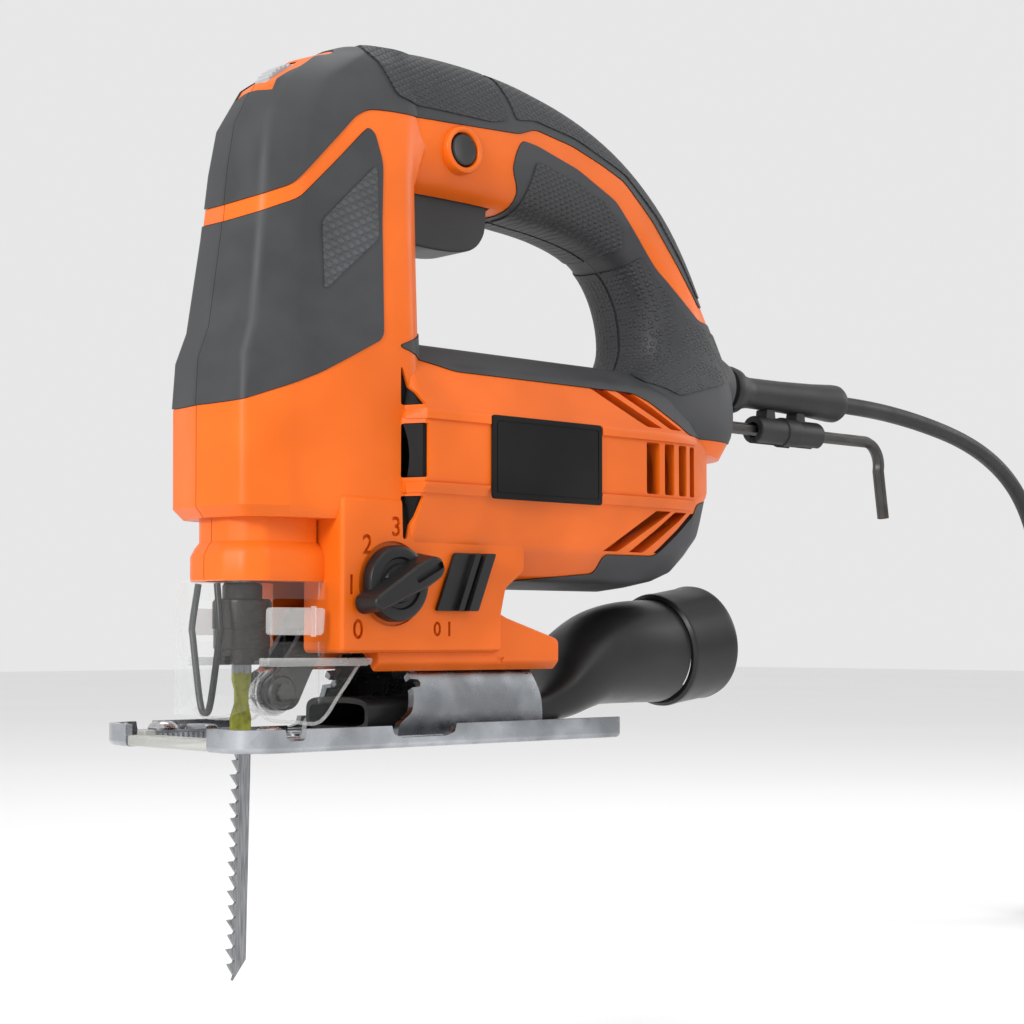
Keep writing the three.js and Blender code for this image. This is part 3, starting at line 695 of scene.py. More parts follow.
@dataclass(frozen=True)
class Metal:
    """A metal with the marks of how it was worked.

    Attributes:
        name: the finish's name.
        colour: its main colour.
        look: how it has been worked.
        roughness: how dull it is.
    """

    name: str
    colour: Colour
    look: SteelLook
    roughness: float = 0.3

    def material(self) -> bpy.types.Material:
        """Builds the material."""
        g = Graph(self.name)
        dark = tuple(c * 0.68 for c in self.colour)
        stain = g.noise(6, 5)
        rough = stain.ramp(0.3, 0.7, self.roughness - 0.06, self.roughness + 0.12)
        if self.look is SteelLook.ZINC:
            flakes = g.cells(5.5, output="Color")
            share = g.node("ShaderNodeSeparateColor", {}, {"Color": flakes})
            shade = g.noise(26, 3).ramp(0.42, 0.62, 0, 0.9)
            colour = g.mix(share * 0.3 + stain.ramp(0.4, 0.7, 0, 0.4), self.colour, dark)
            colour = g.mix(shade, colour, tuple(c * 0.42 for c in self.colour))
            normal = g.bump(g.noise(0.8, 4), 0.03, 0.35)
        elif self.look is SteelLook.BRUSHED:
            lines = g.noise(0.25, 3, g.scaled(1, 1, 0.03))
            colour = g.mix(lines.ramp(0.35, 0.65), dark, self.colour)
            normal = g.bump(lines, 0.02, 0.4)
        elif self.look is SteelLook.LAMINATED:
            sheets = g.node("ShaderNodeTexWave", {"wave_type": "BANDS", "bands_direction": "X"}, {
                "Vector": g.place, "Scale": 0.314 / (0.6 * MM) / 2, "Distortion": 0.2})
            colour = g.mix(sheets, dark, self.colour)
            normal = g.bump(sheets, 0.1, 0.6)
        elif self.look is SteelLook.WOUND:
            wires = g.node("ShaderNodeTexWave", {"wave_type": "RINGS", "rings_direction": "X"}, {
                "Vector": g.node("ShaderNodeMapping", {}, {"Vector": g.place,
                                                           "Location": (0, 0, -0.082)}),
                "Scale": 0.314 / (0.9 * MM) / 2, "Distortion": 0.6})
            colour = g.mix(wires, dark, self.colour)
            normal = g.bump(wires, 0.2, 0.8)
        elif self.look is SteelLook.CAST:
            pits = g.noise(0.7, 4)
            colour = g.mix(pits.ramp(0.35, 0.65), dark, self.colour)
            normal = g.bump(pits, 0.08, 0.6)
        elif self.look is SteelLook.TURNED:
            marks = g.noise(0.5, 3, g.scaled(0.2, 1, 1))
            colour = g.mix(marks.ramp(0.35, 0.65), dark, self.colour)
            normal = g.bump(marks, 0.015, 0.3)
        else:
            pits = g.noise(0.5, 4)
            colour = g.mix(stain.ramp(0.35, 0.7), dark, self.colour)
            normal = g.bump(pits, 0.03, 0.4)
        g.set(Base_Color=colour, Metallic=1.0, Roughness=rough, Normal=normal)
        return g.material


@dataclass(frozen=True)
class BladeSteel:
    """Brushed blade steel with a painted band at the shank.

    Attributes:
        band: the heights between which it is painted, in millimetres.
    """

    name: str = "blade steel"
    band: Point = (4.5, 21.0)
    paint: Colour = (0.235, 0.245, 0.022)

    def material(self) -> bpy.types.Material:
        """Builds the material."""
        g = Graph(self.name)
        z = g.along("Z")
        edge = g.noise(1.2, 2) * 0.0012
        painted = (z + edge).above(self.band[0] * MM) * (z + edge).below(self.band[1] * MM)
        lines = g.noise(0.3, 4, g.scaled(1, 1, 0.04))
        steel = g.mix(lines.ramp(0.35, 0.65), (0.17, 0.175, 0.185), (0.34, 0.345, 0.36))
        speck = g.noise(2.2, 5)
        coat = g.mix(speck.ramp(0.45, 0.7), self.paint, tuple(c * 0.55 for c in self.paint))
        g.set(Base_Color=g.mix(painted, steel, coat), Metallic=1 - painted * 0.85,
              Roughness=painted * 0.16 + 0.32, Normal=g.bump(lines, 0.02, 0.4))
        return g.material


@dataclass(frozen=True)
class ClearPlastic:
    """A see-through moulding, water clear or milky.

    Attributes:
        name: the finish's name.
        colour: its tint.
        cover: how much it hides.
        roughness: how dull it is.
    """

    name: str
    colour: Colour
    cover: float
    roughness: float

    def material(self) -> bpy.types.Material:
        """Builds the material, which hides more where it is seen edge on; the pale tint there is a painted reflection.
        """
        g = Graph(self.name)
        # Painted reflection: the pale tint covers more towards glancing view, standing in for the bright edges of clear
        # plastic.
        rim = g.node("ShaderNodeLayerWeight", {}, {"Blend": 0.35}, "Facing")
        haze = g.noise(7, 3)
        g.set(Base_Color=g.mix(haze.ramp(0.3, 0.7), self.colour, tuple(c * 0.9 for c in self.colour)),
              Alpha=rim * rim * rim * (0.75 - self.cover * 0.5) + self.cover,
              Roughness=haze.ramp(0.3, 0.7, self.roughness, self.roughness + 0.08),
              Normal=g.bump(g.noise(3.5, 2), 0.05, 0.2), Specular_IOR_Level=0.7)
        g.material.surface_render_method = "BLENDED"
        return g.material


class Paintbox:
    """Every finish of the tool, made once."""

    def __init__(self) -> None:
        """Builds the materials."""
        self.orange = Plastic("orange housing", (0.75, 0.128, 0.004), 0.38, 0.4, 0.02).material()
        self.grip = SoftGrip("soft grip").material()
        self.dotted = SoftGrip("dotted grip", Grain.DOTS, 2.6, (0.062, 0.064, 0.07)).material()
        self.stippled = SoftGrip("stippled grip", Grain.HEXAGONS, 1.9).material()
        self.pebbled = SoftGrip("pebbled grip", Grain.PEBBLES, 1.9).material()
        self.black = Plastic("black plastic", (0.012, 0.012, 0.0125), 0.34, 0.5, 0.015, 0.0, 0.32).material()
        self.satin = Plastic("satin black plastic", (0.03, 0.03, 0.031), 0.42, 0.4, 0.02).material()
        self.label = Plastic("label plate", (0.005, 0.005, 0.005), 0.42, 0.8, 0.006, 0.0, 0.12).material()
        self.rubber = Plastic("cord rubber", (0.017, 0.017, 0.018), 0.48, 0.6, 0.03).material()
        self.zinc = Metal("zinc plated steel", (0.47, 0.49, 0.52), SteelLook.ZINC, 0.24).material()
        self.silver = Plastic("silver plastic", (0.42, 0.43, 0.44), 0.3, 0.6, 0.01).material()
        self.plug = Plastic("plug rubber", (0.02, 0.02, 0.021), 0.42, 0.5, 0.03).material()
        self.gunmetal = Metal("grey steel", (0.085, 0.083, 0.08), SteelLook.TURNED, 0.32).material()
        self.nickel = Metal("bright steel", (0.62, 0.62, 0.63), SteelLook.TURNED, 0.2).material()
        self.blackened = Metal("blackened steel", (0.085, 0.08, 0.076), SteelLook.BLACKENED,
                               0.34).material()
        self.bronze = Metal("browned steel", (0.055, 0.051, 0.046), SteelLook.TURNED, 0.36).material()
        self.cast = Metal("cast alloy", (0.45, 0.455, 0.46), SteelLook.CAST, 0.42).material()
        self.laminated = Metal("core sheets", (0.2, 0.2, 0.21), SteelLook.LAMINATED, 0.4).material()
        self.copper = Metal("copper winding", (0.72, 0.28, 0.12), SteelLook.WOUND, 0.35).material()
        self.blade = BladeSteel().material()
        self.clear = ClearPlastic("clear plastic", (0.84, 0.87, 0.87), 0.02, 0.04).material()
        # Painted reflection: the guard's tab, step, rail and bead get a paler, less see-through clear plastic, standing
        # in for the reflections on them.
        self.clear_with_painted_sheen = ClearPlastic("thick clear plastic", (0.8, 0.81, 0.79), 0.3, 0.08).material()
        self.milky = ClearPlastic("milky plastic", (0.5, 0.5, 0.47), 0.5, 0.3).material()


# ---------------------------------------------------------------------------------------------
# Housing
# ---------------------------------------------------------------------------------------------
def grown(outline: Outline, by: float) -> list[Point]:
    """Moves every side of a closed outline outwards, or inwards where by is negative.

    Args:
        outline: the corners, in order.
        by: how far the sides move.

    Returns:
        The corners of the new outline.
    """
    area = sum(a[0] * b[1] - b[0] * a[1] for a, b in zip(outline, [*outline[1:], outline[0]]))
    side = by if area > 0 else -by
    made = []
    for i, corner in enumerate(outline):
        here = Vector(corner)
        came = (here - Vector(outline[i - 1])).normalized()
        goes = (Vector(outline[(i + 1) % len(outline)]) - here).normalized()
        out = Vector((came.y + goes.y, -came.x - goes.x))
        out.normalize()
        share = max(0.5, out.dot(Vector((came.y, -came.x))))
        made.append(tuple(here + out * side / share))
    return made


def both_sides(half: Outline) -> list[Point]:
    """Closes half an outline, given from its front to its rear, with its mirror image."""
    inner = [(a, -b) for a, b in reversed(half) if b != 0]
    return [*half, *inner]


@dataclass
class HousingForm:
    """The outer form of the housing, before it is parted into shells and pads.

    Attributes:
        column: (height, outline half) of the gear housing and hood, from the chin to the top.
        grip: (outer, inner, half width) stations of the handle.
        barrel_half: half the section of the motor barrel, as (y, z).
    """

    column: list = field(default_factory=lambda: [
        (63.5, [(-53.5, 0), (-50, 16), (-40, 20.5), (-22, 22.5), (4, 22.5), (9, 18), (9, 0)]),
        (66.5, [(-56, 0), (-52.5, 17.6), (-41, 22), (-22, 24), (3, 24.5), (9, 19), (9, 0)]),
        (94, [(-56.2, 0), (-52.8, 17.6), (-41, 22), (-22, 24), (3, 24.5), (9, 19), (9, 0)]),
        (108, [(-55.4, 0), (-52, 17.2), (-40, 21.9), (-20, 23.8), (3, 24.5), (9, 19), (9, 0)]),
        (117, [(-52, 0), (-49, 16.3), (-38.5, 21.5), (-17, 23.2), (2.5, 24), (8.5, 19), (8.5, 0)]),
        (144, [(-48.2, 0), (-45.6, 14.8), (-36.5, 20.3), (-12, 21.9), (2.5, 22.6), (8, 18.5), (8, 0)]),
        (163, [(-46.2, 0), (-43.8, 13.8), (-34.5, 19.3), (-9, 21.2), (2.5, 21.6), (8, 18), (8, 0)]),
        (176, [(-44, 0), (-41.8, 12.8), (-32.5, 18.3), (-7, 20.3), (4, 20.3), (14, 17), (14, 0)]),
        (188.5, [(-37.6, 0), (-35.2, 10.8), (-25.5, 16), (-3, 18.6), (6, 18.6), (14, 15), (14, 0)]),
        (198, [(-25, 0), (-22.8, 8), (-13, 13.2), (2, 16), (8, 15.6), (14, 13), (14, 0)]),
        (204.3, [(-9.5, 0), (-8.2, 5), (-3, 9), (5, 11), (9, 10.6), (14, 9), (14, 0)]),
    ])
    grip: list = field(default_factory=lambda: [
        ((-4, 203.5), (-4, 165), 16), ((10, 205.6), (10, 163), 18.2), ((22, 206.2), (22, 163), 18.4),
        ((36, 206), (36, 163), 18.2), ((50, 204.8), (50, 162.6), 17.8), ((62, 202.8), (60, 161.8), 17.4),
        ((75, 199.8), (70, 161), 17.1), ((88, 195.3), (80, 159.7), 17), ((101, 188.6), (90, 157.6), 16.9),
        ((113, 180), (98.5, 154.4), 16.8), ((123.5, 169.6), (105, 149.6), 16.8),
        ((132.4, 157.6), (109.5, 143.6), 16.9), ((139.6, 145.6), (112, 137), 17.1),
        ((145.4, 135.6), (113, 130.5), 17.6), ((150.2, 126.4), (112.6, 124.6), 18.6),
        ((154, 117), (109.5, 118.5), 20.5), ((155, 107.5), (103, 112.5), 22.5), ((153, 98), (100, 104), 23.5),
        ((148, 90), (100, 94), 22),
    ])
    barrel_half: list = field(default_factory=lambda: [
        (0, 118.6), (12, 117.2), (22, 110.5), (29.3, 98), (31.4, 95.6), (31.4, 74.6), (29.4, 72.2),
        (25.2, 57.5), (16, 48), (0, 45.6)])
    barrel_x: list = field(default_factory=lambda: [
        (-3.6, 0.76), (-2.2, 0.785), (1.0, 0.985), (2.4, 1.0), (30, 1.0), (70, 1.0), (101, 1.0),
        (112, 0.965), (121, 0.89), (129, 0.76), (135, 0.6), (138, 0.44)])
    barrel_z: float = 84.0

    def _column(self, grow: float) -> Body:
        """The gear housing and the hood, as sections bridged from bottom to top."""
        rings = []
        last = len(self.column) - 1
        for i, (z, half) in enumerate(self.column):
            outline = grown(both_sides(half), grow)
            height = z - grow if i == 0 else z + grow if i == last else z + grow * min(1, i / last)
            rings.append([Vector((x, y, height)) for x, y in rounded(outline, 2.4, 3)])
        return Body.lofted(rings)

    def _grip(self, grow: float, sides: int = 36) -> Body:
        """The handle, as rounded sections that follow its bend."""
        rings = []
        for outer, inner, half in self._stations():
            reach = (outer - inner).normalized() * grow
            middle = (outer + inner) / 2
            up = (outer + reach) - middle
            ring = []
            for k in range(sides):
                a = math.tau * k / sides
                c, s = math.cos(a), math.sin(a)
                rise = math.copysign(abs(c) ** 0.72, c)
                wide = math.copysign(abs(s) ** 0.66, s) * (half + grow)
                ring.append(Vector((middle.x + up.x * rise, wide, middle.y + up.y * rise)))
            rings.append(ring)
        return Body.lofted(rings)

    def _stations(self) -> list[tuple[Vector, Vector, float]]:
        """The stations of the handle, with smooth ones added between them."""
        outer = smooth_path([(*o, 0) for o, _, _ in self.grip], 3)
        inner = smooth_path([(*i, 0) for _, i, _ in self.grip], 3)
        wide = smooth_path([(w, 0, 0) for _, _, w in self.grip], 3)
        return [(o.xy, i.xy, w.x) for o, i, w in zip(outer, inner, wide)]

    def _barrel(self, grow: float) -> Body:
        """The motor barrel, which closes in towards its tail."""
        outline = grown([*self.barrel_half, *[(-y, z) for y, z in reversed(self.barrel_half[1:-1])]], grow)
        outline = rounded(outline, 2.0, 3)
        rings = []
        for i, (x, size) in enumerate(self.barrel_x):
            shift = grow if i == len(self.barrel_x) - 1 else -grow if i == 0 else 0
            rings.append([Vector((x + shift, y * size, self.barrel_z + (z - self.barrel_z) * size))
                          for y, z in outline])
        return Body.lofted(rings)

    def _lower(self, grow: float) -> Body:
        """The lower gear housing that the dial sits on, with its sloping rear."""
        side = [(-24, 26), (-24, 70), (46, 70), (46, 50), (38.5, 45), (36.5, 37), (36.5, 26)]
        body = Body.drawn(grown(side, grow), -25 - grow, 25 + grow, Axis.Y)
        return body.softened(1.6, 3)

    def _foot(self, grow: float) -> Body:
        """The foot that carries the housing on its saddle."""
        side = [(-9, 20.5), (-9, 38), (37, 38), (41, 36.2), (61.2, 30.2), (62.3, 29), (62.3, 20.5)]
        section = [(-22.5, 23), (-20, 20.5), (20, 20.5), (22.5, 23), (22.5, 40), (-22.5, 40)]
        body = Body.drawn(grown(side, grow), -30, 30, Axis.Y)
        body.kept(Body.drawn(grown(section, grow), -12, 66, Axis.X))
        return body.softened(0.9, 2)

    def _neck(self, grow: float) -> Body:
        """The neck round the plunger, with a waist below the chin and a flared rim."""
        half = [(-53, 0), (-52.4, 7), (-49, 13), (-43.5, 17), (-22, 17), (-22, 0)]
        rings = []
        for z, inset in ((46 - grow, 0.2), (47.5, 0), (53, 0), (55.4, 1.2), (57, 2.4), (64, 2.4), (70, 0.4)):
            outline = grown(both_sides(half), grow - inset)
            rings.append([Vector((x, y, z)) for x, y in rounded(outline, 1.5, 3)])
        return Body.lofted(rings)

    def _cord_neck(self, grow: float) -> Body:
        """The rounded tail end that the cord leaves."""
        profile = [(0, 128), (13.5, 128), (13, 146), (11.6, 156), (9.6, 161), (7.8, 162.7 + grow), (0, 162.7 + grow)]
        return Body.turned([(max(0, r + grow) if r else 0, h) for r, h in profile], (0, 0, 118), Axis.X, 32)

    def solid(self, grow: float = 0.0) -> Body:
        """The whole form as one closed skin.

        Args:
            grow: how far the skin lies outside the nominal one.

        Returns:
            The form.
        """
        return self._column(grow).fused(self._grip(grow), self._barrel(grow), self._lower(grow),
                                        self._foot(grow), self._neck(grow), self._cord_neck(grow))


class Side(Enum):
    """The two sides of the tool."""

    LEFT = -1
    RIGHT = 1

    @property
    def label(self) -> str:
        """The side's name in lower case."""
        return self.name.lower()

    def half_space(self, gap: float = GAP / 2) -> Body:
        """A block that holds this side of the tool."""
        near, far = self.value * gap, self.value * 90
        return Body.block((-110, 280), (min(near, far), max(near, far)), (-30, 260))


HOOD_REGION = [(-70, 147), (-54, 149.6), (-49.2, 151.4), (-37.1, 156.7), (-25.3, 169.1),
               (-15.1, 180), (-10.5, 182.6), (-3, 183.3), (3.6, 183.6), (20, 184.3), (50, 186.2), (57, 188.9), (74, 186.6), (88, 182.6),
               (98, 179), (111, 168), (122.5, 155.2), (135, 141), (150, 150), (190, 170), (190, 240),
               (-70, 240)]
NOSE_REGION = [(-80, 94.5), (-54, 94.6), (-37.5, 100.8), (-30, 104), (-9.5, 115), (-8.3, 117), (-7.7, 150),
               (-6.8, 167.4), (-9.2, 175.6), (-11.2, 177.2), (-13.4, 175.4), (-22.1, 166.4), (-35.7, 152.9),
               (-49.1, 146.8), (-80, 141)]
REAR_REGION = [(51, 184.6), (48.5, 180), (47.3, 175), (51.6, 168), (51, 162.5), (44, 155), (30, 140),
               (10.5, 125), (8.5, 119), (-3.5, 114), (5, 111.5), (19, 108.6), (94, 108.6), (100, 106.5),
               (117, 96), (180, 96), (180, 134), (133, 137), (128, 141), (113, 152.4), (104, 162),
               (93.7, 172), (76, 179.6), (58, 184)]
TAIL_REGION = [(44, 42.4), (45, 47.4), (81, 50.6), (80, 56.4), (103, 56.5), (120.6, 70.2), (121.6, 74),
               (180, 84), (180, 42.4)]


@dataclass
class HousingSkin:
    """The two shells and the soft pads that cover them."""

    paints: Paintbox
    form: HousingForm = field(default_factory=HousingForm)
    pad_rise: float = 0.35
    wheel: tuple[float, float, float] = (-25, 184.8, 12.2)
    front_slots: tuple[Outline, ...] = (
        [(-2.6, 108), (-1.8, 107.6), (2.2, 97.6), (2.2, 97), (-2.6, 97)],
        [(-2.6, 76), (2.2, 76), (2.2, 91.6), (-2.6, 91.6)],
        [(-2.2, 58.4), (-0.6, 58.4), (2.4, 70.8), (-2.6, 70.8)])
    screws: tuple[Point, ...] = ((-14, 57), (0, 144), (62, 181), (121, 112))

    def _region(self, outline: Outline, side: Side, inset: float = 0.0, round_by: float = 2.2) -> Body:
        """A prism that parts a pad from one side of the tool."""
        ends = sorted((0.0, side.value * 70.0))
        return Body.drawn(rounded(grown(outline, -inset), round_by, 4), *ends, Axis.Y)

    def vents(self, side: Side) -> list[Body]:
        """The slots that the cooling air passes, on one side."""
        slots = [*self.front_slots]
        for i in range(3):
            slots.append([(74 + 11.7 * i, 109.4), (94.6 + 11.4 * i, 97.2), (101.6 + 10.6 * i, 97.2),
                          (81 + 11.7 * i, 109.4)])
            slots.append([(79 + 11.6 * i, 57.4), (85.6 + 11.6 * i, 57.4), (107 + 9.2 * i, 70.8),
                          (99.6 + 9.6 * i, 70.8)])
        for start, end in ((92.4, 98.4), (100.8, 105.8), (108.2, 112.4), (114.6, 117.6)):
            slots.append(slanted(start, end, 75.8, 92.2, 0))
        near, far = sorted((side.value * 19.0, side.value * 45.0))
        return [Body.drawn(rounded(s, 0.7, 2), near, far, Axis.Y) for s in slots]

    def vent_screen(self, side: Side) -> None:
        """A near-black plug set in the front slots a little below the surface: painted shade for the dark inside of the
        vents.
        """
        ends = sorted((side.value * 22.6, side.value * 45.0))
        slots = [Body.drawn(rounded(grown(o, 0.4), 0.7, 2), *ends, Axis.Y) for o in self.front_slots]
        shade_plug = slots[0].fused(*slots[1:]).kept(self.form.solid(-1.1))
        shade_plug.cut(Body.drawn(circle((0, 82), 26.2, 64), -20, 40, Axis.X))
        shade_plug.piece(f"vent_screen_{side.label}", "housing", "black_plastic", self.paints.label, ())

    def wheel_patch(self, margin: float = 0.0) -> Body:
        """The wavy-edged patch of hard shell round the speed wheel."""
        edge = [(-50, -8.4), (-40, -9.6), (-34, -8.0), (-28, -9.4), (-22, -8.0), (-17, -9.0), (-14, -6.6), (-13, 0)]
        outline = both_sides([(a, -b) for a, b in reversed(edge)])
        body = Body.drawn(rounded(grown(outline, margin), 2.2, 4), 150, 230)
        side = [(-60, 188), (-38.5, 186.4), (-30, 178), (0, 178), (0, 230), (-60, 230)]
        return body.kept(Body.drawn(grown(side, margin), -20, 20, Axis.Y))

    def rails(self, side: Side) -> list[Body]:
        """The two raised rails along the barrel, above and below the name plate."""
        ends = sorted((side.value * 20.0, side.value * 45.0))
        bands = [Body.block((-2, 118.4), ends, heights).softened(0.3, 1) for heights in ((92.9, 95.8), (71.7, 74.7))]
        plate = Body.block((25.4, 72), (-60, 60), (70, 97))
        return [band.kept(self.form.solid(0.8)).cut(plate.copy()) for band in bands]

    def numbers(self) -> list[Body]:
        """The sunk numbers round the dial and under the slider, and the mark over the tilt scale."""
        marks = [("0", -18.2, 32.4, 5.6), ("1", -20.6, 44.8, 5.6), ("2", -15.0, 56.2, 5.6), ("3", -4.6, 61.6, 5.6),
                 ("0", 10.8, 32.6, 4.2), ("1", 15.4, 32.6, 4.2)]
        made = [lettering(text, size, x, z, -23.7, 1.8) for text, x, z, size in marks]
        made.append(Body.drawn([(36.4, 24.4), (39.2, 24.4), (37.8, 21.8)], -24, -22.0, Axis.Y))
        return made

    def panels(self) -> dict[str, tuple[Outline, bpy.types.Material]]:
        """The raised grip panels, with their outlines and finishes."""
        hexagons = self.paints.stippled
        return {
            "dotted_panel": ([(-28.6, 127.4), (-9.6, 144.6), (-9.6, 166), (-28.8, 147.2)], self.paints.dotted),
            "hood_panel": ([(0, 189), (8, 187.4), (38, 187.8), (45, 189.6), (40.5, 200), (36, 215), (-3, 215),
                            (-6, 203)], hexagons),
            "crown_panel": ([(48.6, 190.4), (57, 191.8), (75.4, 189.4), (99, 181.6), (113.6, 169.8), (125, 156.6),
                             (134, 144.6), (160, 156), (165, 220), (40, 220), (44, 200.6)], hexagons),
            "palm_panel": ([(54.6, 168.6), (57.4, 178.8), (73, 175.8), (89, 170.2), (97.4, 162.6), (99, 158),
                            (91, 148), (84, 152), (58, 150), (53, 160)], hexagons),
            "heel_panel": ([(106.8, 155.6), (113.8, 148), (124.6, 138.4), (134, 134.4), (156, 131), (150, 118),
                            (118, 110), (104, 116), (108, 128), (106, 142), (100, 150)], self.paints.pebbled),
        }

    def openings(self) -> list[Body]:
        """The pockets for the parts that stick out of the shells."""
        x, z, radius = self.wheel
        wheel = Body.drawn(circle((x, z), radius), -4.2, 4.2, Axis.Y)
        trigger = Body.block((10, 46), (-8.7, 8.7), (140, 181))
        dial = Body.drawn(circle((-6, 45.6), 12.1, 48), -45, -24.1, Axis.Y)
        reach = Body.drawn(circle((-6, 45.6), 16.4, 48), -45, -27.4, Axis.Y)
        slider = Body.drawn(rounded(slanted(14.2, 24.2, 42.2, 49.8, 0.2), 1), -45, -21, Axis.Y)
        lock = Body.drawn(circle((26, 177), 5.3), -40, -6.4, Axis.Y)
        orbit = Body.block((-34, -9.7), (-7.5, 7.5), (15, 70))
        plunger = Body.drawn(circle((-40.1, 0), 9.7, 48), 40, 70).fused(
            Body.drawn(circle((-40.4, 0), 10.2, 48), 40, 56),
            Body.block((-49.5, -26), (-10, 10), (66, 112)), Body.block((-47.6, -26), (-10, 10), (111, 131)),
            Body.block((-44.6, -26), (-10, 10), (130, 152)))
        saddle = Body.drawn(circle((0, 8), 23.75, 96), -20, 80, Axis.X)
        cord = Body.drawn(circle((0, 118), 6.9), 126, 190, Axis.X)
        clamp = Body.drawn(circle((46, 0), 5.2), 10, 40)
        motor = Body.drawn(circle((0, 82), 28.4, 64), -7, 112, Axis.X)
        motor.cut(Body.block((-9, 1.6), (22.6, 40), (40, 120)), Body.block((-9, 1.6), (-40, -22.6), (40, 120)))
        gears = Body.block((-44, -26.5), (-15.2, 15.2), (66, 132)).fused(
            Body.block((-26.6, -4.5), (-21.2, 21.2), (68, 132)))
        switch = Body.block((9.5, 47), (-8.4, 8.4), (180, 197))
        return [wheel, trigger, dial, reach, slider, lock, orbit, plunger, saddle, cord, clamp,
                motor, gears, switch]

    def build(self) -> None:
        """Makes the shells, the pads and the tail bumper."""
        outer = self.form.solid(self.pad_rise)
        over = self.form.solid(self.pad_rise + 0.42)
        patch = self.wheel_patch()
        under = self.form.solid(-SKIN)
        seat = self.form.solid(-SKIN - GAP)
        openings = self.openings()
        heads = [Body.drawn(circle(at, 3.9), 8.6, 45, Axis.Y) for at in self.screws]
        bores = [Body.drawn(circle(at, 2.0), -10, 20, Axis.Y) for at in self.screws]
        regions = {"hood_grip": HOOD_REGION, "nose_pad": NOSE_REGION, "rear_grip": REAR_REGION}
        for side in Side:
            nominal = self.form.solid(0).kept(side.half_space())
            skin = self.form.solid(2.5).cut(seat.copy())
            seats = [skin.copy().kept(self._region(r, side)) for r in (*regions.values(), TAIL_REGION)]
            seats[0].cut(patch.copy())
            nominal.fused(*self.rails(side))
            if side is Side.LEFT:
                nominal.cut(*self.numbers())
            # Painted shade: a near-black plug in the front slots stands in for the dark inside of the vents.
            self.vent_screen(side)
            shell = nominal.cut(*seats, *[o.copy() for o in openings], *self.vents(side),
                                *[h.copy() for h in heads], *[b.copy() for b in bores])
            shell.cleaned(0.6).piece(f"shell_{side.label}", "housing", "orange_housing",
                                     self.paints.orange, [f"{side.label}_shell"], 28)
            for name, outline in regions.items():
                pad = outer.copy().kept(self._region(outline, side, GAP / 2), side.half_space(0.1))
                if name == "hood_grip":
                    pad.cut(self.wheel_patch(GAP))
                pad.cut(under.copy(), openings[0].copy(), openings[1].copy(), openings[9].copy(),
                        *[h.copy() for h in heads])
                pad.cleaned(0.6).piece(f"{name}_cover_{side.label}", "housing", "soft_grip",
                                       self.paints.grip, [f"{name}_{side.label}"], 28)
            for name, (outline, finish) in self.panels().items():
                panel = over.copy().kept(self._region(outline, side, 0, 1.6), side.half_space(0.6))
                panel.cut(outer.copy(), openings[1].copy(), *[h.copy() for h in heads])
                panel.cleaned(0.6).piece(f"{name}_{side.label}", "housing", "soft_grip", finish, (), 28)
        tail = outer.copy().kept(Body.drawn(rounded(grown(TAIL_REGION, -GAP / 2), 2), -70, 70, Axis.Y))
        tail.cut(under.copy()).cleaned(0.6).piece("tail_cover", "housing", "soft_grip", self.paints.grip,
                                                 ["tail_bumper"], 28)


# ---------------------------------------------------------------------------------------------
# Stage
# ---------------------------------------------------------------------------------------------
@dataclass
class Studio:
    """The floor, the lights and the camera.

    Attributes:
        camera_at: the camera's place, in metres.
        yaw: the camera's turn from straight ahead towards the cord, in degrees.
        pitch: how far it looks up, in degrees.
        lens: its focal length on a 36 mm sensor.
    """

    camera_at: tuple[float, float, float] = (-0.35795, -0.45571, 0.03046)
    yaw: float = 42.75
    pitch: float = 3.66
    lens: float = 68.78

    def floor(self) -> None:
        """Lays the pale floor."""
        bm = bmesh.new()
        bmesh.ops.create_grid(bm, x_segments=2, y_segments=2, size=6)
        mesh = bpy.data.meshes.new("floor")
        bm.to_mesh(mesh)
        bm.free()
        mesh.transform(Matrix.Translation((0, 0, FLOOR_Z * MM)))
        floor = bpy.data.objects.new("floor", mesh)
        bpy.context.collection.objects.link(floor)
        g = Graph("pale floor")
        g.set(Base_Color=g.mix(g.noise(400, 2), (0.86, 0.86, 0.86), (0.9, 0.9, 0.9)), Roughness=0.9,
              Specular_IOR_Level=0.1)
        mesh.materials.append(g.material)

    def light(self) -> None:
        """Hangs the soft lights and sets the pale surroundings."""
        bpy.context.scene.view_settings.view_transform = "Standard"
        world = bpy.data.worlds.new("studio")
        bpy.context.scene.world = world
        world.use_nodes = True
        world.node_tree.nodes["Background"].inputs["Color"].default_value = (1, 1, 1, 1)
        world.node_tree.nodes["Background"].inputs["Strength"].default_value = 0.8
        for name, at, size, power in (
                ("key", (0.1, -1.3, 1.1), 0.7, 3.8), ("front", (-1.3, -0.35, 0.6), 0.45, 14),
                ("top", (0.25, 0.2, 1.4), 0.7, 5.5), ("back", (1.1, -0.4, 0.5), 0.5, 2)):
            lamp = bpy.data.lights.new(name, "AREA")
            lamp.size, lamp.energy = size, power
            holder = bpy.data.objects.new(name, lamp)
            holder.location = at
            holder.rotation_mode = "QUATERNION"
            aim = Vector((0.04, 0, 0.09)) - Vector(at)
            holder.rotation_quaternion = aim.to_track_quat("-Z", "Y")
            bpy.context.collection.objects.link(holder)

    def camera(self) -> None:
        """Places the camera."""
        data = bpy.data.cameras.new("camera")
        data.lens, data.sensor_width, data.clip_start = self.lens, 36, 0.01
        holder = bpy.data.objects.new("camera", data)
        yaw, pitch = math.radians(self.yaw), math.radians(self.pitch)
        aim = Vector((math.sin(yaw) * math.cos(pitch), math.cos(yaw) * math.cos(pitch), math.sin(pitch)))
        holder.location = self.camera_at
        holder.rotation_mode = "QUATERNION"
        holder.rotation_quaternion = aim.to_track_quat("-Z", "Y")
        bpy.context.collection.objects.link(holder)
        bpy.context.scene.camera = holder

    def build(self) -> None:
        """Sets the whole stage."""
        self.floor()
        self.light()
        self.camera()


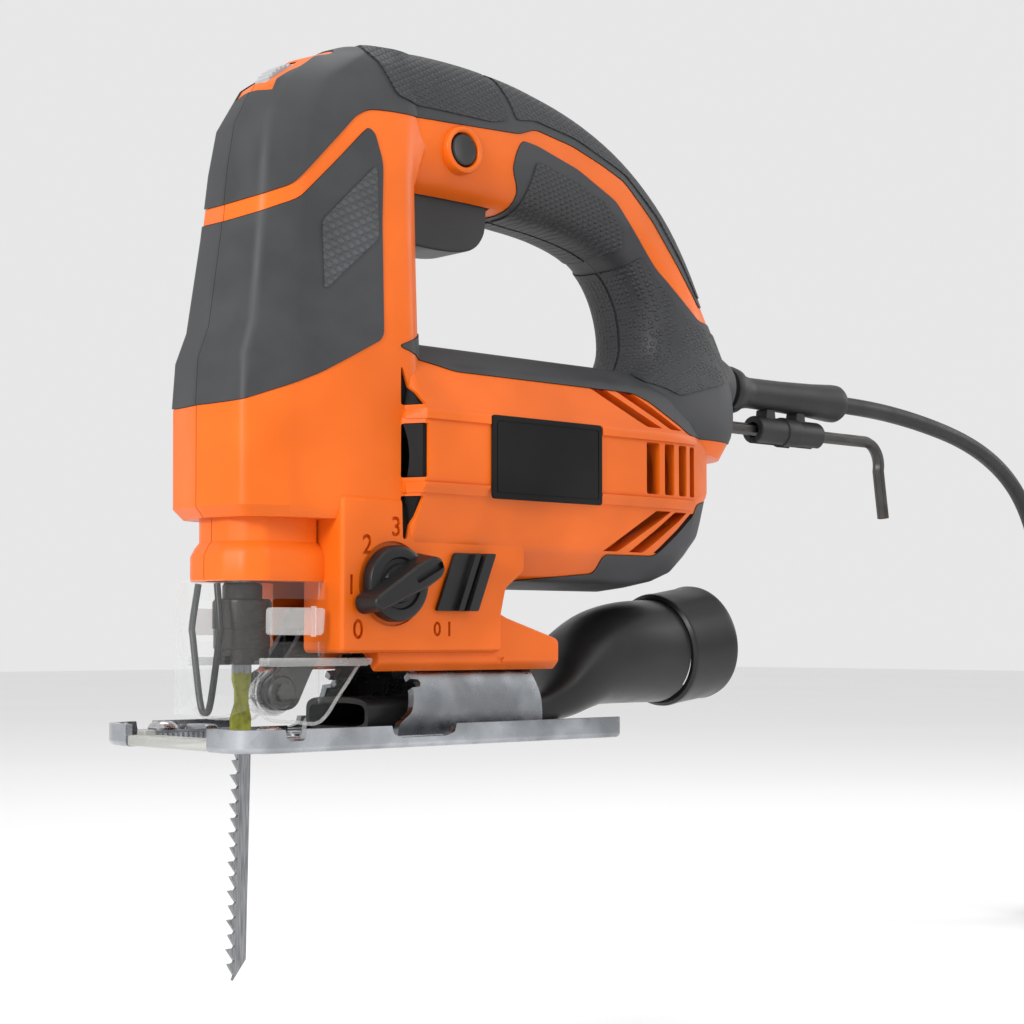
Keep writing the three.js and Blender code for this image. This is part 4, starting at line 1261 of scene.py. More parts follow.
@dataclass
class Controls:
    """The trigger, its lock button, the speed wheel, the orbit dial and the blower slider."""

    paints: Paintbox
    dial_at: Point = (-6, 45.6)
    dial_radius: float = 10.9
    dial_rest: float = 27.0       # the handle's lean, in degrees
    lock_at: Point = (26, 177)

    def trigger(self) -> None:
        """The trigger, a rounded bar under the handle."""
        side = [(10.9, 174.8), (10.9, 151.5), (13.6, 148.9), (20, 148.1), (31, 148.2), (39, 149.8),
                (43.4, 153.6), (45.1, 159.5), (45.1, 174.8)]
        body = Body.drawn(smooth_outline(side), -8, 8, Axis.Y)
        edges = [e for e in body.bm.edges
                 if abs(abs(e.verts[0].co.y) - 8) < 1e-3 and abs(e.verts[0].co.y - e.verts[1].co.y) < 1e-3]
        bmesh.ops.bevel(body.bm, geom=edges, offset=3.4, offset_type="OFFSET", segments=6, profile=0.5,
                        affect="EDGES", clamp_overlap=True, material=-1)
        body.piece("trigger_cover", "trigger", "black_plastic", self.paints.satin, ["trigger"], 40)

    def lock(self) -> None:
        """The lock button and the raised ring round it."""
        x, z = self.lock_at
        ring = Body.turned([(5.3, -16), (7.3, -16), (7.3, -18.9), (6.9, -19.6), (6.2, -19.9), (5.7, -19.7),
                            (5.3, -19.1), (5.3, -16)], (x, 0, z), Axis.Y)
        ring.piece("lock_ring", "housing", "orange_housing", self.paints.orange)
        button = Body.turned([(0, -11.4), (4.9, -11.4), (4.9, -18.6), (4.6, -19.3), (4.1, -19.5), (3.6, -19.3),
                              (1.8, -19.0), (0, -18.9)], (x, 0, z), Axis.Y)
        button.piece("lock_button_cover", "lock", "black_plastic", self.paints.satin, ["lock_button"])

    def wheel(self, ribs: int = 40) -> None:
        """The ribbed speed wheel."""
        outline = []
        for i in range(ribs):
            for turn, radius in ((0.0, 10.9), (0.3, 11.5), (0.62, 11.5), (0.9, 10.9)):
                a = math.tau * (i + turn) / ribs
                outline.append((-25 + radius * math.cos(a), 184.8 + radius * math.sin(a)))
        body = Body.drawn(outline, -3.5, 3.5, Axis.Y).softened(0.25, 1, 60)
        body.piece("speed_wheel_ribs", "wheel", "zinc_steel", self.paints.silver, ["speed_wheel"], 25)

    def dial(self) -> None:
        """The orbit dial: a stepped disc with a handle bar across it."""
        x, z = self.dial_at
        r = self.dial_radius
        disc = Body.turned([(0, -24.6), (r - 1.2, -24.6), (r, -25.4), (r, -27.6), (r - 0.5, -28.5),
                            (r - 1.4, -28.9), (r - 3.4, -28.9), (r - 3.9, -28.2), (r - 5.2, -28.2),
                            (r - 5.7, -29.2), (0, -29.4)], (x, 0, z), Axis.Y, 72)
        outline = [(-15.6, -1.2), (-14.2, -3.0), (5, -5.0), (11.2, -4.5), (13.6, -2.6), (13.8, 2.2), (11.4, 4.5),
                   (5, 5.0), (-14.2, 3.0), (-15.6, 1.2)]
        bar = Body.drawn(rounded(outline, 1.2, 3), -34.4, -25.6, Axis.Y)
        top = [v for v in bar.bm.verts if v.co.y < -34]
        bmesh.ops.scale(bar.bm, verts=top, vec=(0.93, 1, 0.72))
        bar.softened(0.9, 3, 40)
        bar.cut(Body.drawn(rounded([(1.5, -1.0), (12.6, -1.0), (12.6, 1.0), (1.5, 1.0)], 0.9), -36, -32.9, Axis.Y))
        bar.turned_by(-self.dial_rest, "Y").moved(x, 0, z)
        spindle = Body.drawn(circle((x, z), 3), -25, -9, Axis.Y)
        disc.fused(bar, spindle)
        disc.piece("orbit_dial_cover", "dial", "black_plastic", self.paints.black, ["orbit_dial"], 30)

    def slider(self) -> None:
        """The blower slider: a leaning plate with two raised ridges at its rear edge."""
        plate = Body.drawn(rounded(slanted(9.4, 23.0, 38.0, 55.0, 7.0), 0.8), -26.6, -25.3, Axis.Y)
        plate.softened(0.4, 2, 40)
        for start, end, tall in ((16.0, 18.2, 28.4), (19.4, 23.2, 29.2)):
            ridge = Body.drawn(rounded(slanted(start, end, 38.0, 55.0, 7.0), 0.7), -tall, -25.6, Axis.Y)
            plate.fused(ridge.softened(0.5, 2, 40))
        plate.fused(Body.block((18.6, 23.4), (-26, -22.4), (42.8, 49.2)))
        plate.piece("blower_slider_cover", "slider", "black_plastic", self.paints.black, ["blower_slider"])

    def build(self) -> None:
        """Makes every control."""
        self.trigger()
        self.lock()
        self.wheel()
        self.dial()
        self.slider()


@dataclass
class BladeEnd:
    """The blade clamp, the roller and its lever, and the guards round the blade."""

    paints: Paintbox
    rod_x: float = -40.0
    roller_at: Point = (-30.6, 15)
    pivot_at: Point = (-16, 36)

    def clamp(self) -> None:
        """The twist collar of the blade clamp and the core inside it."""
        x = self.rod_x
        ring = Body.turned([(5.9, 22.8), (7.1, 22.8), (7.6, 23.3), (7.6, 27.0), (7.95, 27.4), (7.95, 32.5),
                            (8.3, 32.9), (8.3, 40.2), (7.7, 41.1), (5.9, 41.1), (5.9, 22.8)], (x, 0, 0), Axis.Z, 72)
        ring.cut(Body.block((x - 9, x - 5), (-4.6, -2.2), (20, 25.2)), Body.block((x - 2.2, x + 2.2), (-9, -6), (20, 24.6)))
        ring.softened(0.15, 1, 50).piece("clamp_collar_cover", "collar", "dark_steel", self.paints.bronze,
                                         ["clamp_collar"])
        core = Body.turned([(0, 23.2), (5.2, 23.2), (5.6, 23.6), (5.6, 44.8), (5.0, 45.7), (0, 45.7)], (x, 0, 0))
        core.cut(Body.block((x - 3.4, x + 3.4), (-0.95, 0.95), (10, 38.3)))
        core.piece("clamp_core", "plunger", "dark_steel", self.paints.bronze, ["clamp_body"])

    def roller(self) -> None:
        """The guide roller, waisted between two rims."""
        x, z = self.roller_at
        rim = Body.turned([(1.7, -3), (6.4, -3), (6.8, -2.7), (6.8, -1.9), (6.1, -0.8), (6.1, 0.8), (6.8, 1.9),
                           (6.8, 2.7), (6.4, 3), (1.7, 3), (1.7, -3)], (x, 0, z), Axis.Y, 64)
        rim.piece("guide_roller_rim", "roller", "zinc_steel", self.paints.nickel, ["guide_roller"])

    def lever(self) -> None:
        """The forked lever with its pin and the hexagon bolt through the roller."""
        x, z = self.roller_at
        px, pz = self.pivot_at
        side = [(px - 3.8, pz + 3), (px + 3.6, pz + 3), (px + 4.2, pz - 4), (px - 3.5, pz - 15), (x + 5.6, z - 4.6),
                (x, z - 5.6), (x - 5, z - 2.6), (x - 5, z + 2.6), (x - 0.4, z + 5.8), (x + 6, z + 14.5)]
        cheeks = Body.drawn(rounded(side, 2.4, 4), -5.6, 5.6, Axis.Y)
        cheeks.cut(Body.block((x - 12, x + 7.4), (-3.4, 3.4), (0, 31)), Body.block((px - 9, px + 6), (-2.6, 2.6), (20, 33)))
        cheeks.softened(0.6, 2, 40)
        for way in (-1, 1):
            hub = Body.turned([(0, way * 5.2), (4.7, way * 5.2), (4.7, way * 6.3), (4.1, way * 6.9), (0, way * 6.9)],
                              (x, 0, z), Axis.Y, 40)
            head = Body.drawn(circle((x, z), 2.9, 6), *sorted((way * 6.6, way * 8.2)), Axis.Y).softened(0.3, 2, 20)
            pin = Body.turned([(0, way * 5.2), (2.6, way * 5.2), (2.6, way * 6.4), (2.1, way * 6.8), (0, way * 6.8)],
                              (px, 0, pz), Axis.Y)
            cheeks.fused(hub, head, pin)
        cheeks.fused(Body.drawn(circle((x, z), 1.6), -6, 6, Axis.Y))
        cheeks.piece("roller_lever_fork", "lever", "dark_steel", self.paints.gunmetal, ["roller_lever"])

    def wire(self) -> None:
        """The wire finger guard in front of the blade."""
        corners_at = [(-51.6, -4.6, 45.2), (-52, -6.8, 34), (-52, -6.4, 30), (-52, -2.6, 12.6), (-52, 0, 9.6),
                      (-52, 2.6, 12.6), (-52, 6.4, 30), (-52, 6.8, 34), (-51.6, 4.6, 45.2)]
        body = Body.tube(smooth_path(corners_at, 6), 0.95, 14)
        body.piece("wire_guard_strand", "housing", "black_plastic", self.paints.black, ["wire_guard"])

    def blade(self, teeth: int = 15, pitch: float = 4.0) -> None:
        """The wood blade: raked teeth set to each side in turn, a waisted shank and a slanted tip.

        Args:
            teeth: how many teeth it has.
            pitch: the distance from one to the next.
        """
        front, back, low = self.rod_x - 3, self.rod_x + 3, -63.4
        outline = []
        for i in range(teeth):
            z = low + pitch * i
            lean = 0.02 * (z + 4)
            outline += [(front + 2.3 + lean, z + 0.3), (front + lean, z + 3.6), (front + 1.9 + lean, z + 3.7)]
        outline += [(front + 0.8, -1.5), (front - 0.5, 3.5), (front - 0.5, 8), (front + 0.9, 12), (front + 0.9, 15.5),
                    (front, 18.5), (front, 38), (back, 38), (back, 18.5), (back - 0.9, 15.5), (back - 0.9, 12),
                    (back, 8), (back, 0), (back - 1.1, -59), (front + 0.6, -64.4)]
        body = Body.drawn(outline, -0.55, 0.55, Axis.Y)
        for vert in body.bm.verts:
            place = (vert.co.z - low) / pitch
            tip = front + 0.02 * (vert.co.z + 4) + 0.4
            if place < teeth and vert.co.x < tip and vert.co.z < -3:
                vert.co.y += 0.34 if int(place) % 2 else -0.34
        body.piece("saw_blade_steel", "blade", "blade_steel", self.paints.blade, ["saw_blade"])

    def guard(self) -> None:
        """The clear guard, bent round the front of the neck, with a rail and a flap on each side."""
        plan = [(-24, -19.4), (-45.5, -19.4), (-52.6, -15.2), (-56.6, -8.2), (-57, 0)]
        whole = both_sides([(a, -b) for a, b in reversed(plan)])
        wall = Body.drawn(rounded(whole, 3.4, 5), 9, 46)
        front = Body.drawn(rounded([(-17.6, 9.2), (17.6, 9.2), (20.6, 25), (20.6, 52), (-20.6, 52), (-20.6, 25)], 9, 8),
                           -70, -20, Axis.X)
        wall.kept(front)
        wall.cut(Body.drawn(rounded(grown(whole, -1.35), 2.6, 5), 0, 60), Body.block((-25.4, 0), (-30, 30), (0, 60)))
        thick: Optional[Body] = None
        for way in (-1, 1):
            ends = sorted((way * 12.0, way * 26.0))
            wall.cut(Body.drawn(rounded([(-43.5, 29.2), (-20, 29.2), (-20, 41), (-43.5, 41)], 1.2), *ends, Axis.Y))
            tab = Body.drawn(rounded([(-44.6, 31), (-26.6, 31), (-26, 38.6), (-44.6, 38.6)], 1.2), *sorted((way * 17.6, way * 20.4)),
                             Axis.Y).softened(0.6, 2)
            step = Body.drawn([(-31, 30.6), (-29.8, 30.6), (-29.8, 39), (-31, 39)], *sorted((way * 20.0, way * 21.0)), Axis.Y)
            rail = Body.drawn(rounded([(-45, 22.4), (-11.4, 22.4), (-9.4, 23), (-9.2, 24.6), (-45, 24.8)], 0.8),
                              *sorted((way * 15.2, way * 20.4)), Axis.Y).softened(0.5, 2)
            flap = Body.drawn(rounded([(-47, 24), (-47, 13), (-42, 7.4), (-24.4, 6.2), (-10.4, 23), (-10.4, 24)], 1.4),
                              *sorted((way * 15.3, way * 16.6)), Axis.Y).softened(0.3, 2)
            edge = [(-10.8, 22.6), (-17.4, 14.6), (-24.4, 6.9), (-33, 7.0), (-41.6, 7.8), (-45, 10.5)]
            bead = Body.tube(smooth_path([(a, way * 15.9, b) for a, b in edge], 4), 0.5, 10)
            wall.fused(flap)
            thick = tab.fused(step) if thick is None else thick.fused(tab, step)
            thick.fused(rail, bead)
        # The paler finish of these thick parts is a painted reflection.
        thick.piece("clear_guard_edges", "guard", "clear_plastic", self.paints.clear_with_painted_sheen, ())
        wall.cleaned(0.5).piece("clear_guard_shield", "guard", "clear_plastic", self.paints.clear, ["clear_guard"], 32)

    def build(self) -> None:
        """Makes every piece round the blade."""
        self.clamp()
        self.roller()
        self.lever()
        self.wire()
        self.blade()
        self.guard()


@dataclass
class Shoe:
    """The pressed steel shoe with its saddle, screws and splinter insert."""

    paints: Paintbox
    half: float = 37.7
    front: float = -65.0
    rear: float = 75.0
    pivot_z: float = 8.0

    def _plan(self) -> list[Point]:
        """The outline of the shoe from above."""
        f, w = self.front, self.half
        half = [(f, 20), (f, 27.5), (f + 2.4, 33), (f + 8, 36.6), (f + 14, w), (self.rear - 1.5, w), (self.rear, w - 2),
                (self.rear, 0)]
        return [*half, *[(a, -b) for a, b in reversed(half) if b]]

    def deck(self) -> None:
        """The deck, with its folded flanges, horns, racks and pressed pads."""
        w = self.half
        outline = rounded(self._plan(), 2.2, 3)
        deck = Body.drawn(outline, 0, 6.2)
        edge = [e for e in deck.bm.edges if all(v.co.z < 0.01 for v in e.verts)]
        bmesh.ops.bevel(deck.bm, geom=edge, offset=1.5, offset_type="OFFSET", segments=4, profile=0.5,
                        affect="EDGES", clamp_overlap=True, material=-1)
        hollow = Body.drawn(rounded(grown(self._plan(), -2.3), 1.4, 3), 2.3, 12)
        window = Body.drawn(rounded([(-57, -20), (-8, -20), (-8, 20), (-57, 20)], 1.2), -5, 12)
        mouth = Body.block((-80, -56.8), (-20, 20), (-5, 12))
        rear_gap = Body.block((self.rear - 4, self.rear + 4), (-w + 2.3, w - 2.3), (2.3, 12))
        dips = [Body.drawn(rounded([(-15.5, 3.9), (-12.6, 2.9), (3.4, 2.9), (6.6, 3.9), (7.4, 6.5), (7.4, 12), (-16.3, 12),
                                    (-16.3, 6.5)], 0.6), *sorted((way * (w - 4), way * (w + 4))), Axis.Y) for way in (-1, 1)]
        low = [Body.drawn(rounded([(-51.4, 3.2), (-45.8, 3.2), (-43.4, 12), (-53.2, 12)], 1.2),
                          *sorted((way * (w - 4), way * (w + 4))), Axis.Y) for way in (-1, 1)]
        deck.cut(hollow, window, mouth, rear_gap, *dips, *low)
        extras = []
        for way in (-1, 1):
            pad = Body.drawn(rounded([(-57.5, way * 20.6), (-41.5, way * 20.6), (-41.5, way * 34.6), (-55, way * 34.6)], 3),
                             1.6, 4.0, taper=0.86).softened(0.6, 3, 30)
            hump = Body.drawn(rounded([(-37.5, way * 21), (-31, way * 21), (-31, way * 35.8), (-37.5, way * 35.8)], 2),
                              1.6, 5.2, taper=0.72).softened(0.8, 3, 30)
            rib = Body.drawn(rounded([(-24, way * 27.6), (72, way * 27.6), (72, way * 29.4), (-24, way * 29.4)], 0.8), 1.6, 2.9,
                             taper=0.97).softened(0.4, 2, 30)
            lip = Body.drawn(rounded([(-57.2, way * 20.1), (-9, way * 20.1), (-9, way * 21.6), (-57.2, way * 21.6)], 0.5), 1, 4.2)
            extras += [pad, hump, rib, lip]
            for i in range(14):
                x = -56.2 + 1.7 * i
                extras.append(Body.drawn([(x, way * 20.0), (x + 0.85, way * 19.1), (x + 1.7, way * 20.0), (x + 1.7, way * 20.6),
                                          (x, way * 20.6)], 0.4, 3.4))
        deck.fused(*extras)
        holes = [Body.drawn(circle((-49, way * 26), 1.9), -4, 12) for way in (-1, 1)]
        slots = [Body.drawn(rounded([(20, way * 30), (34, way * 30), (34, way * 33), (20, way * 33)], 1.4), -4, 2.9) for way in (-1, 1)]
        deck.cut(*holes, *slots).cleaned(0.5).softened(0.25, 1, 50)
        deck.piece("shoe_pressing", "base", "zinc_steel", self.paints.zinc, ["shoe_plate"], 30)

    def saddle(self) -> None:
        """The arched saddle with teeth along its front edge and a degree scale."""
        outer, inner, z = 22.8, 20.5, self.pivot_z
        section = [*arc((0, z), outer, 0, 180, 60), (-outer, 2.5), (-29.5, 2.5), (-29.5, 4.7), (-31.8, 4.7)]
        section = [(outer, 2.5), *arc((0, z), outer, 0, 180, 60), (-outer, 2.5), (-inner, 2.5),
                   *arc((0, z), inner, 180, 0, 60), (inner, 2.5)]
        arch = Body.drawn(section, -3, 55.4, Axis.X)
        profile = [(-2.4, 0), (-1.6, 5.6), (3.4, 9), (4.6, 14), (4.6, 40), (50, 40), (50.5, 28), (52.6, 22), (54.6, 13), (55, 0)]
        arch.kept(Body.drawn(rounded(profile, 1.5, 4), -40, 40, Axis.Y))
        cuts = []
        for degrees in range(-66, 67, 12):
            notch = Body.drawn([(0, -1.7), (6.9, -1.1), (7.4, 0), (6.9, 1.1), (0, 1.7)], 16, 30)
            cuts.append(notch.turned_by(degrees, "X").moved(0.6, 0, z))
        cuts.append(Body.block((30, 37.4), (-19.5, 19.5), (24.5, 40)).turned_by(-14, "X", (0, 0, z)))
        cuts.append(Body.drawn(rounded([(42.6, -18.4), (49.4, -18.4), (49.4, 18.4), (42.6, 18.4)], 3), 12, 40))
        for degrees in range(-60, 61, 15):
            tick = Body.block((44 if degrees % 30 else 40.6, 41.6 if degrees % 30 else 42), (-0.22, 0.22), (22.5, 23.4))
            cuts.append(tick.turned_by(degrees, "X").moved(9.6, 0, z))
        arch.cut(*cuts).softened(0.22, 1, 50)
        arch.piece("saddle_arch", "base", "zinc_steel", self.paints.zinc, ["bevel_saddle"], 30)

    def screws(self) -> None:
        """The domed cross screws on the horns and the socket screw that clamps the tilt."""
        for side in Side:
            x, y = -49, side.value * 26
            head = Body.turned([(0, 0.4), (1.6, 0.4), (1.6, 4.1), (4.1, 4.1), (4.3, 4.6), (3.7, 5.7), (2.5, 6.4), (0, 6.7)],
                               (x, y, 0), Axis.Z, 40)
            for turn in (20, 110):
                cross = Body.block((-2.3, 2.3), (-0.42, 0.42), (5.5, 9)).turned_by(turn, "Z")
                head.cut(cross.moved(x, y, 0))
            head.piece(f"horn_screw_head_{side.label}", "base", "zinc_steel", self.paints.nickel,
                       [f"horn_screw_{side.label}"])
        bolt = Body.turned([(0, 20.6), (3.9, 20.6), (4.5, 21.2), (4.5, 27.6), (2.9, 27.6), (2.9, 38), (0, 38)], (46, 0, 0))
        bolt.cut(Body.drawn(circle((46, 0), 2.5, 6), 18, 24.4))
        bolt.piece("tilt_clamp_bolt", "housing", "dark_steel", self.paints.blackened, ["bevel_clamp_screw"])

    def insert(self) -> None:
        """The milky splinter insert, a plate with two prongs beside the blade."""
        plate = Body.drawn(rounded([(-64.8, -19.7), (-57.5, -19.7), (-57.5, 19.7), (-64.8, 19.7)], 1.2), 0.3, 3.2)
        plate.softened(0.5, 2)
        for way in (-1, 1):
            plate.fused(Body.drawn(rounded([(-62, way * 15), (-58, way * 15), (-58, way * 19.4), (-62, way * 19.4)], 1),
                                   2.6, 4.6).softened(0.4, 2))
            plate.cut(Body.drawn(rounded([(-63, way * 3), (-59.5, way * 3), (-59.5, way * 12), (-63, way * 12)], 1), 2.4, 6))
        plate.piece("splinter_insert_tray", "base", "milky_plastic", self.paints.milky, ["splinter_insert"])

    def build(self) -> None:
        """Makes every piece of the shoe."""
        self.deck()
        self.saddle()
        self.screws()
        self.insert()


@dataclass
class DustNozzle:
    """The black duct that runs under the saddle and rises to the hose port."""

    paints: Paintbox
    stations: list = field(default_factory=lambda: [
        # x, middle height, half width, half height, squareness from 0 round to 1 square
        (-6.4, 8.0, 14.8, 5.0, 0.8), (20, 8.0, 14.8, 5.0, 0.8), (52, 8.0, 14.8, 5.0, 0.8),
        (62, 8.2, 14.9, 5.2, 0.7), (70, 9.6, 15.1, 6.2, 0.6), (78, 12.6, 15.5, 7.9, 0.5), (85, 16.6, 15.8, 10.0, 0.4),
        (93, 21.0, 16.3, 12.8, 0.3), (102, 24.0, 16.8, 15.4, 0.2), (113, 25.4, 17.2, 16.8, 0.1),
        (128.4, 25.9, 17.4, 17.3, 0.0)])
    tilt: float = 8.0

    def _ring(self, x: float, z: float, wide: float, tall: float, square: float, lean: float,
              sides: int = 56) -> list[Vector]:
        """One section of the duct."""
        power = 1 - 0.62 * square
        ring = []
        for k in range(sides):
            a = math.tau * k / sides
            y = math.copysign(abs(math.cos(a)) ** power, math.cos(a)) * wide
            h = math.copysign(abs(math.sin(a)) ** power, math.sin(a)) * tall
            ring.append(Vector((x - h * lean, y, z + h)))
        return ring

    def _tube(self, wall: float) -> Body:
        """The duct as a solid, drawn in by a wall."""
        known = smooth_path([(x, z, 0) for x, z, *_ in self.stations], 4)
        sizes = smooth_path([(w, h, s) for _, _, w, h, s in self.stations], 4)
        rings = []
        for i, (place, size) in enumerate(zip(known, sizes)):
            ahead, behind = known[min(i + 1, len(known) - 1)], known[max(i - 1, 0)]
            lean = (ahead.y - behind.y) / (ahead.x - behind.x) * 0.55
            shift = -1 if i == 0 and wall else 1 if i == len(known) - 1 and wall else 0
            rings.append(self._ring(place.x + shift, place.y, size.x - wall, size.y - wall, max(0, size.z), lean))
        return Body.lofted(rings)

    def duct(self) -> None:
        """The duct with its moulding seam and its side rib."""
        body = self._tube(0).cut(self._tube(1.6))
        rise = [(68, -15.4, 6.4), (80, -16, 9.6), (92, -16.8, 15.4), (104, -17.4, 22), (112, -17.6, 25)]
        drop = [(112, -17.6, 25), (113.4, -17.2, 19), (113.6, -14.4, 12), (113, -10, 9)]
        body.cut(Body.tube(smooth_path(rise, 6), 0.4, 8), Body.tube(smooth_path(drop, 6), 0.4, 8))
        body.piece("dust_duct_shell", "nozzle", "black_plastic", self.paints.black, ["dust_duct"], 40)

    def port(self) -> None:
        """The round hose port."""
        rim = Body.turned([(16.4, 0), (18.0, -0.4), (19.0, 0.3), (19.2, 1.2), (19.0, 2.2), (19.2, 17.4), (19.5, 19.2),
                           (19.2, 20.8), (18.4, 21.3), (17.2, 21.0), (16.6, 20.0), (16.4, 0)], (0, 0, 0), Axis.X, 72)
        rim.turned_by(-self.tilt, "Y").moved(129.2, 0, 26.0)
        rim.piece("hose_port_rim", "nozzle", "black_plastic", self.paints.black, ["hose_port"], 40)

    def build(self) -> None:
        """Makes the nozzle."""
        self.duct()
        self.port()


@dataclass
class TailEnd:
    """The cord's sleeve, and the key with the clip that holds it."""

    paints: Paintbox

    def sleeve(self) -> None:
        """The tapered sleeve with a collar at its root and a flared mouth."""
        profile = [(0, 152), (6.3, 152), (6.3, 164.4), (8.2, 165.2), (8.6, 167), (8.0, 170), (6.2, 173.4), (5.5, 178),
                   (5.7, 196), (6.3, 214), (7.0, 225), (7.0, 227.6), (6.4, 228.8), (4.2, 228.9), (3.6, 227.6), (0, 227.4)]
        body = Body.turned(profile, (0, 0, 118), Axis.X, 48)
        body.cut(Body.block((100, 166.4), (-12, 12), (100, 111)))
        body.piece("cord_sleeve_boot", "housing", "cord_rubber", self.paints.rubber, ["cord_sleeve"], 40)

    def clip(self) -> None:
        """The clip that holds the key under the sleeve."""
        tube = Body.drawn(circle((0, 105), 5.0, 40), 181, 217, Axis.X).softened(0.7, 3, 40)
        tube.fused(Body.drawn(circle((0, 105), 5.5, 40), 196, 204, Axis.X).softened(0.5, 2, 40))
        for x0, x1 in ((185.6, 191.4), (202.6, 208.4)):
            arm = Body.drawn(rounded([(x0, 108), (x1, 108), (x1 - 0.6, 112.6), (x0 + 0.6, 112.6)], 0.6), -2.6, 2.6, Axis.Y)
            tube.fused(arm.softened(0.5, 2, 40))
        tube.cut(Body.drawn(circle((0, 105), 2.75, 32), 150, 230, Axis.X),
                 Body.drawn([(-1.9, 98), (1.9, 98), (1.2, 104), (-1.2, 104)], 150, 230, Axis.X))
        tube.piece("key_clip_tube", "housing", "cord_rubber", self.paints.rubber, ["hex_key_clip"], 40)

    def key(self) -> None:
        """The bent hexagon key."""
        bend = arc((247, 96.4), 8.6, 90, -14, 14)
        path = [Vector((x, 0, 105)) for x in (158.4, 175, 200, 225, 243)]
        path += [Vector((x, 0, z)) for x, z in bend]
        path += [Vector((256.6, 0, 86)), Vector((258.2, 0, 76))]
        body = Body.tube(path, 2.3, 6).softened(0.3, 2, 40)
        body.piece("hex_key_rod", "key", "dark_steel", self.paints.blackened, ["hex_key"], 30)

    def build(self) -> None:
        """Makes every piece at the tail."""
        self.sleeve()
        self.clip()
        self.key()


@dataclass
class MainsLead:
    """The mains lead: its run to the floor, the stored coil with its tie, and the plug."""

    paints: Paintbox
    length: float = 2.5
    diameter: float = 6.4
    coil_at: Point = (452, 0)
    columns: tuple[float, ...] = (41.6, 35.0, 28.4)
    layer: float = 6.6
    plug_at: tuple[float, float, float] = (432, -22, -54.3)
    run: list = field(default_factory=lambda: [
        (229, 0, 118), (245, 0, 118), (265, 0, 117), (290, 0, 114), (315, 0, 109.5), (340, 1, 101), (362, 4, 88),
        (381, 9, 68), (395.5, 14, 40), (404.5, 19, 8), (409, 24, -26), (411.5, 29, -52), (415.5, 34.2, -73),
        (423, 38.4, -86.2), (435, 40.8, -91.4)])

    def path(self) -> list[Vector]:
        """The whole middle line, from the sleeve to the plug."""
        low = FLOOR_Z + self.diameter / 2 + 0.1
        wide, middle, small = self.columns
        stops = [(0, wide, 0), (0.8, wide, 0), (1.2, middle, 0), (1.9, middle, 0), (2.3, small, 0), (2.85, small, 0),
                 (3.15, small, 1), (3.8, small, 1), (4.2, middle, 1), (4.8, middle, 1), (5.2, wide, 1), (5.85, wide, 1),
                 (6.15, wide, 2), (6.8, wide, 2), (7.2, middle, 2), (7.8, middle, 2), (8.2, small, 2), (8.85, small, 2),
                 (9.12, small + 3, 3), (9.34, middle + 3, 3), (9.5, 43, 3.5)]
        points = [Vector(p) for p in self.run]
        turn = 0.0
        while turn <= 9.5:
            (t0, r0, l0), (t1, r1, l1) = next(
                (a, b) for a, b in zip(stops, stops[1:]) if a[0] <= turn <= b[0])
            share = (turn - t0) / (t1 - t0)
            share = share * share * (3 - 2 * share)
            a = math.radians(90 - 360 * turn)
            r = r0 + (r1 - r0) * share
            points.append(Vector((self.coil_at[0] + r * math.cos(a), self.coil_at[1] + r * math.sin(a),
                                  low + self.layer * (l0 + (l1 - l0) * share))))
            turn += 1 / 20
        x, y, z = self.plug_at
        points += [Vector((x + 3.5, y - 13, z - 5)), Vector((x, y + 1.5, z))]
        return points

    def build(self) -> None:
        """Makes the lead, its tie and its plug."""
        curve = bpy.data.curves.new("mains_lead", "CURVE")
        curve.dimensions, curve.resolution_u = "3D", 6
        curve.bevel_depth, curve.bevel_resolution = self.diameter / 2 * MM, 5
        curve.use_fill_caps = True
        points = self.path()
        line = curve.splines.new("NURBS")
        line.points.add(len(points) - 1)
        for spot, place in zip(line.points, points):
            spot.co = (*(place * MM), 1)
        line.order_u, line.use_endpoint_u = 4, True
        lead = bpy.data.objects.new("mains_lead", curve)
        bpy.context.collection.objects.link(lead)
        curve.materials.append(self.paints.rubber)
        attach(lead, "housing")
        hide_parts("cord_run", "cord_coil")
        plug = self.plug()
        tie = self.tie()

    def plug(self) -> bpy.types.Object:
        """The moulded plug with its two pins."""
        profile = [(0, 0), (4.2, 0), (4.6, 4), (4.4, 5), (5.0, 9), (4.8, 10), (5.4, 14), (5.2, 15), (6.4, 18), (11.4, 23.5),
                   (12.8, 26), (13.3, 30), (13.3, 38), (12.6, 39.6), (11.6, 40), (0, 40)]
        body = Body.turned(profile, (0, 0, 0), Axis.Y, 48)
        for bump in range(5):
            ridge = Body.block((-8, 8), (27.2 + 2.2 * bump, 28.2 + 2.2 * bump), (12.2, 13.8)).softened(0.4, 1)
            body.fused(ridge)
        for x in (-9.5, 9.5):
            pin = Body.turned([(0, 39), (2.4, 39), (2.4, 49), (2.0, 49.4), (2.0, 57), (1.2, 58), (0, 58.2)], (x, 0, 0), Axis.Y, 24)
            body.fused(pin)
        body.moved(*self.plug_at)
        return body.piece("mains_plug", "housing", "cord_rubber", self.paints.plug, ["plug"])

    def tie(self) -> bpy.types.Object:
        """The tie round the coil."""
        x, y = self.coil_at
        outer = [(x + 23.6, -94.9), (x + 46.2, -94.9), (x + 46.2, -73.6), (x + 23.6, -73.6)]
        band = Body.drawn(rounded(outer, 6, 6), y - 3.5, y + 3.5, Axis.Y)
        band.cut(Body.drawn(rounded(grown(outer, -0.9), 5.2, 6), y - 9, y + 9, Axis.Y))
        band.fused(Body.block((x + 45.4, x + 48.4), (y - 4.6, y + 4.6), (-88, -81)).softened(0.6, 2))
        return band.piece("lead_tie", "housing", "cord_rubber", self.paints.rubber)


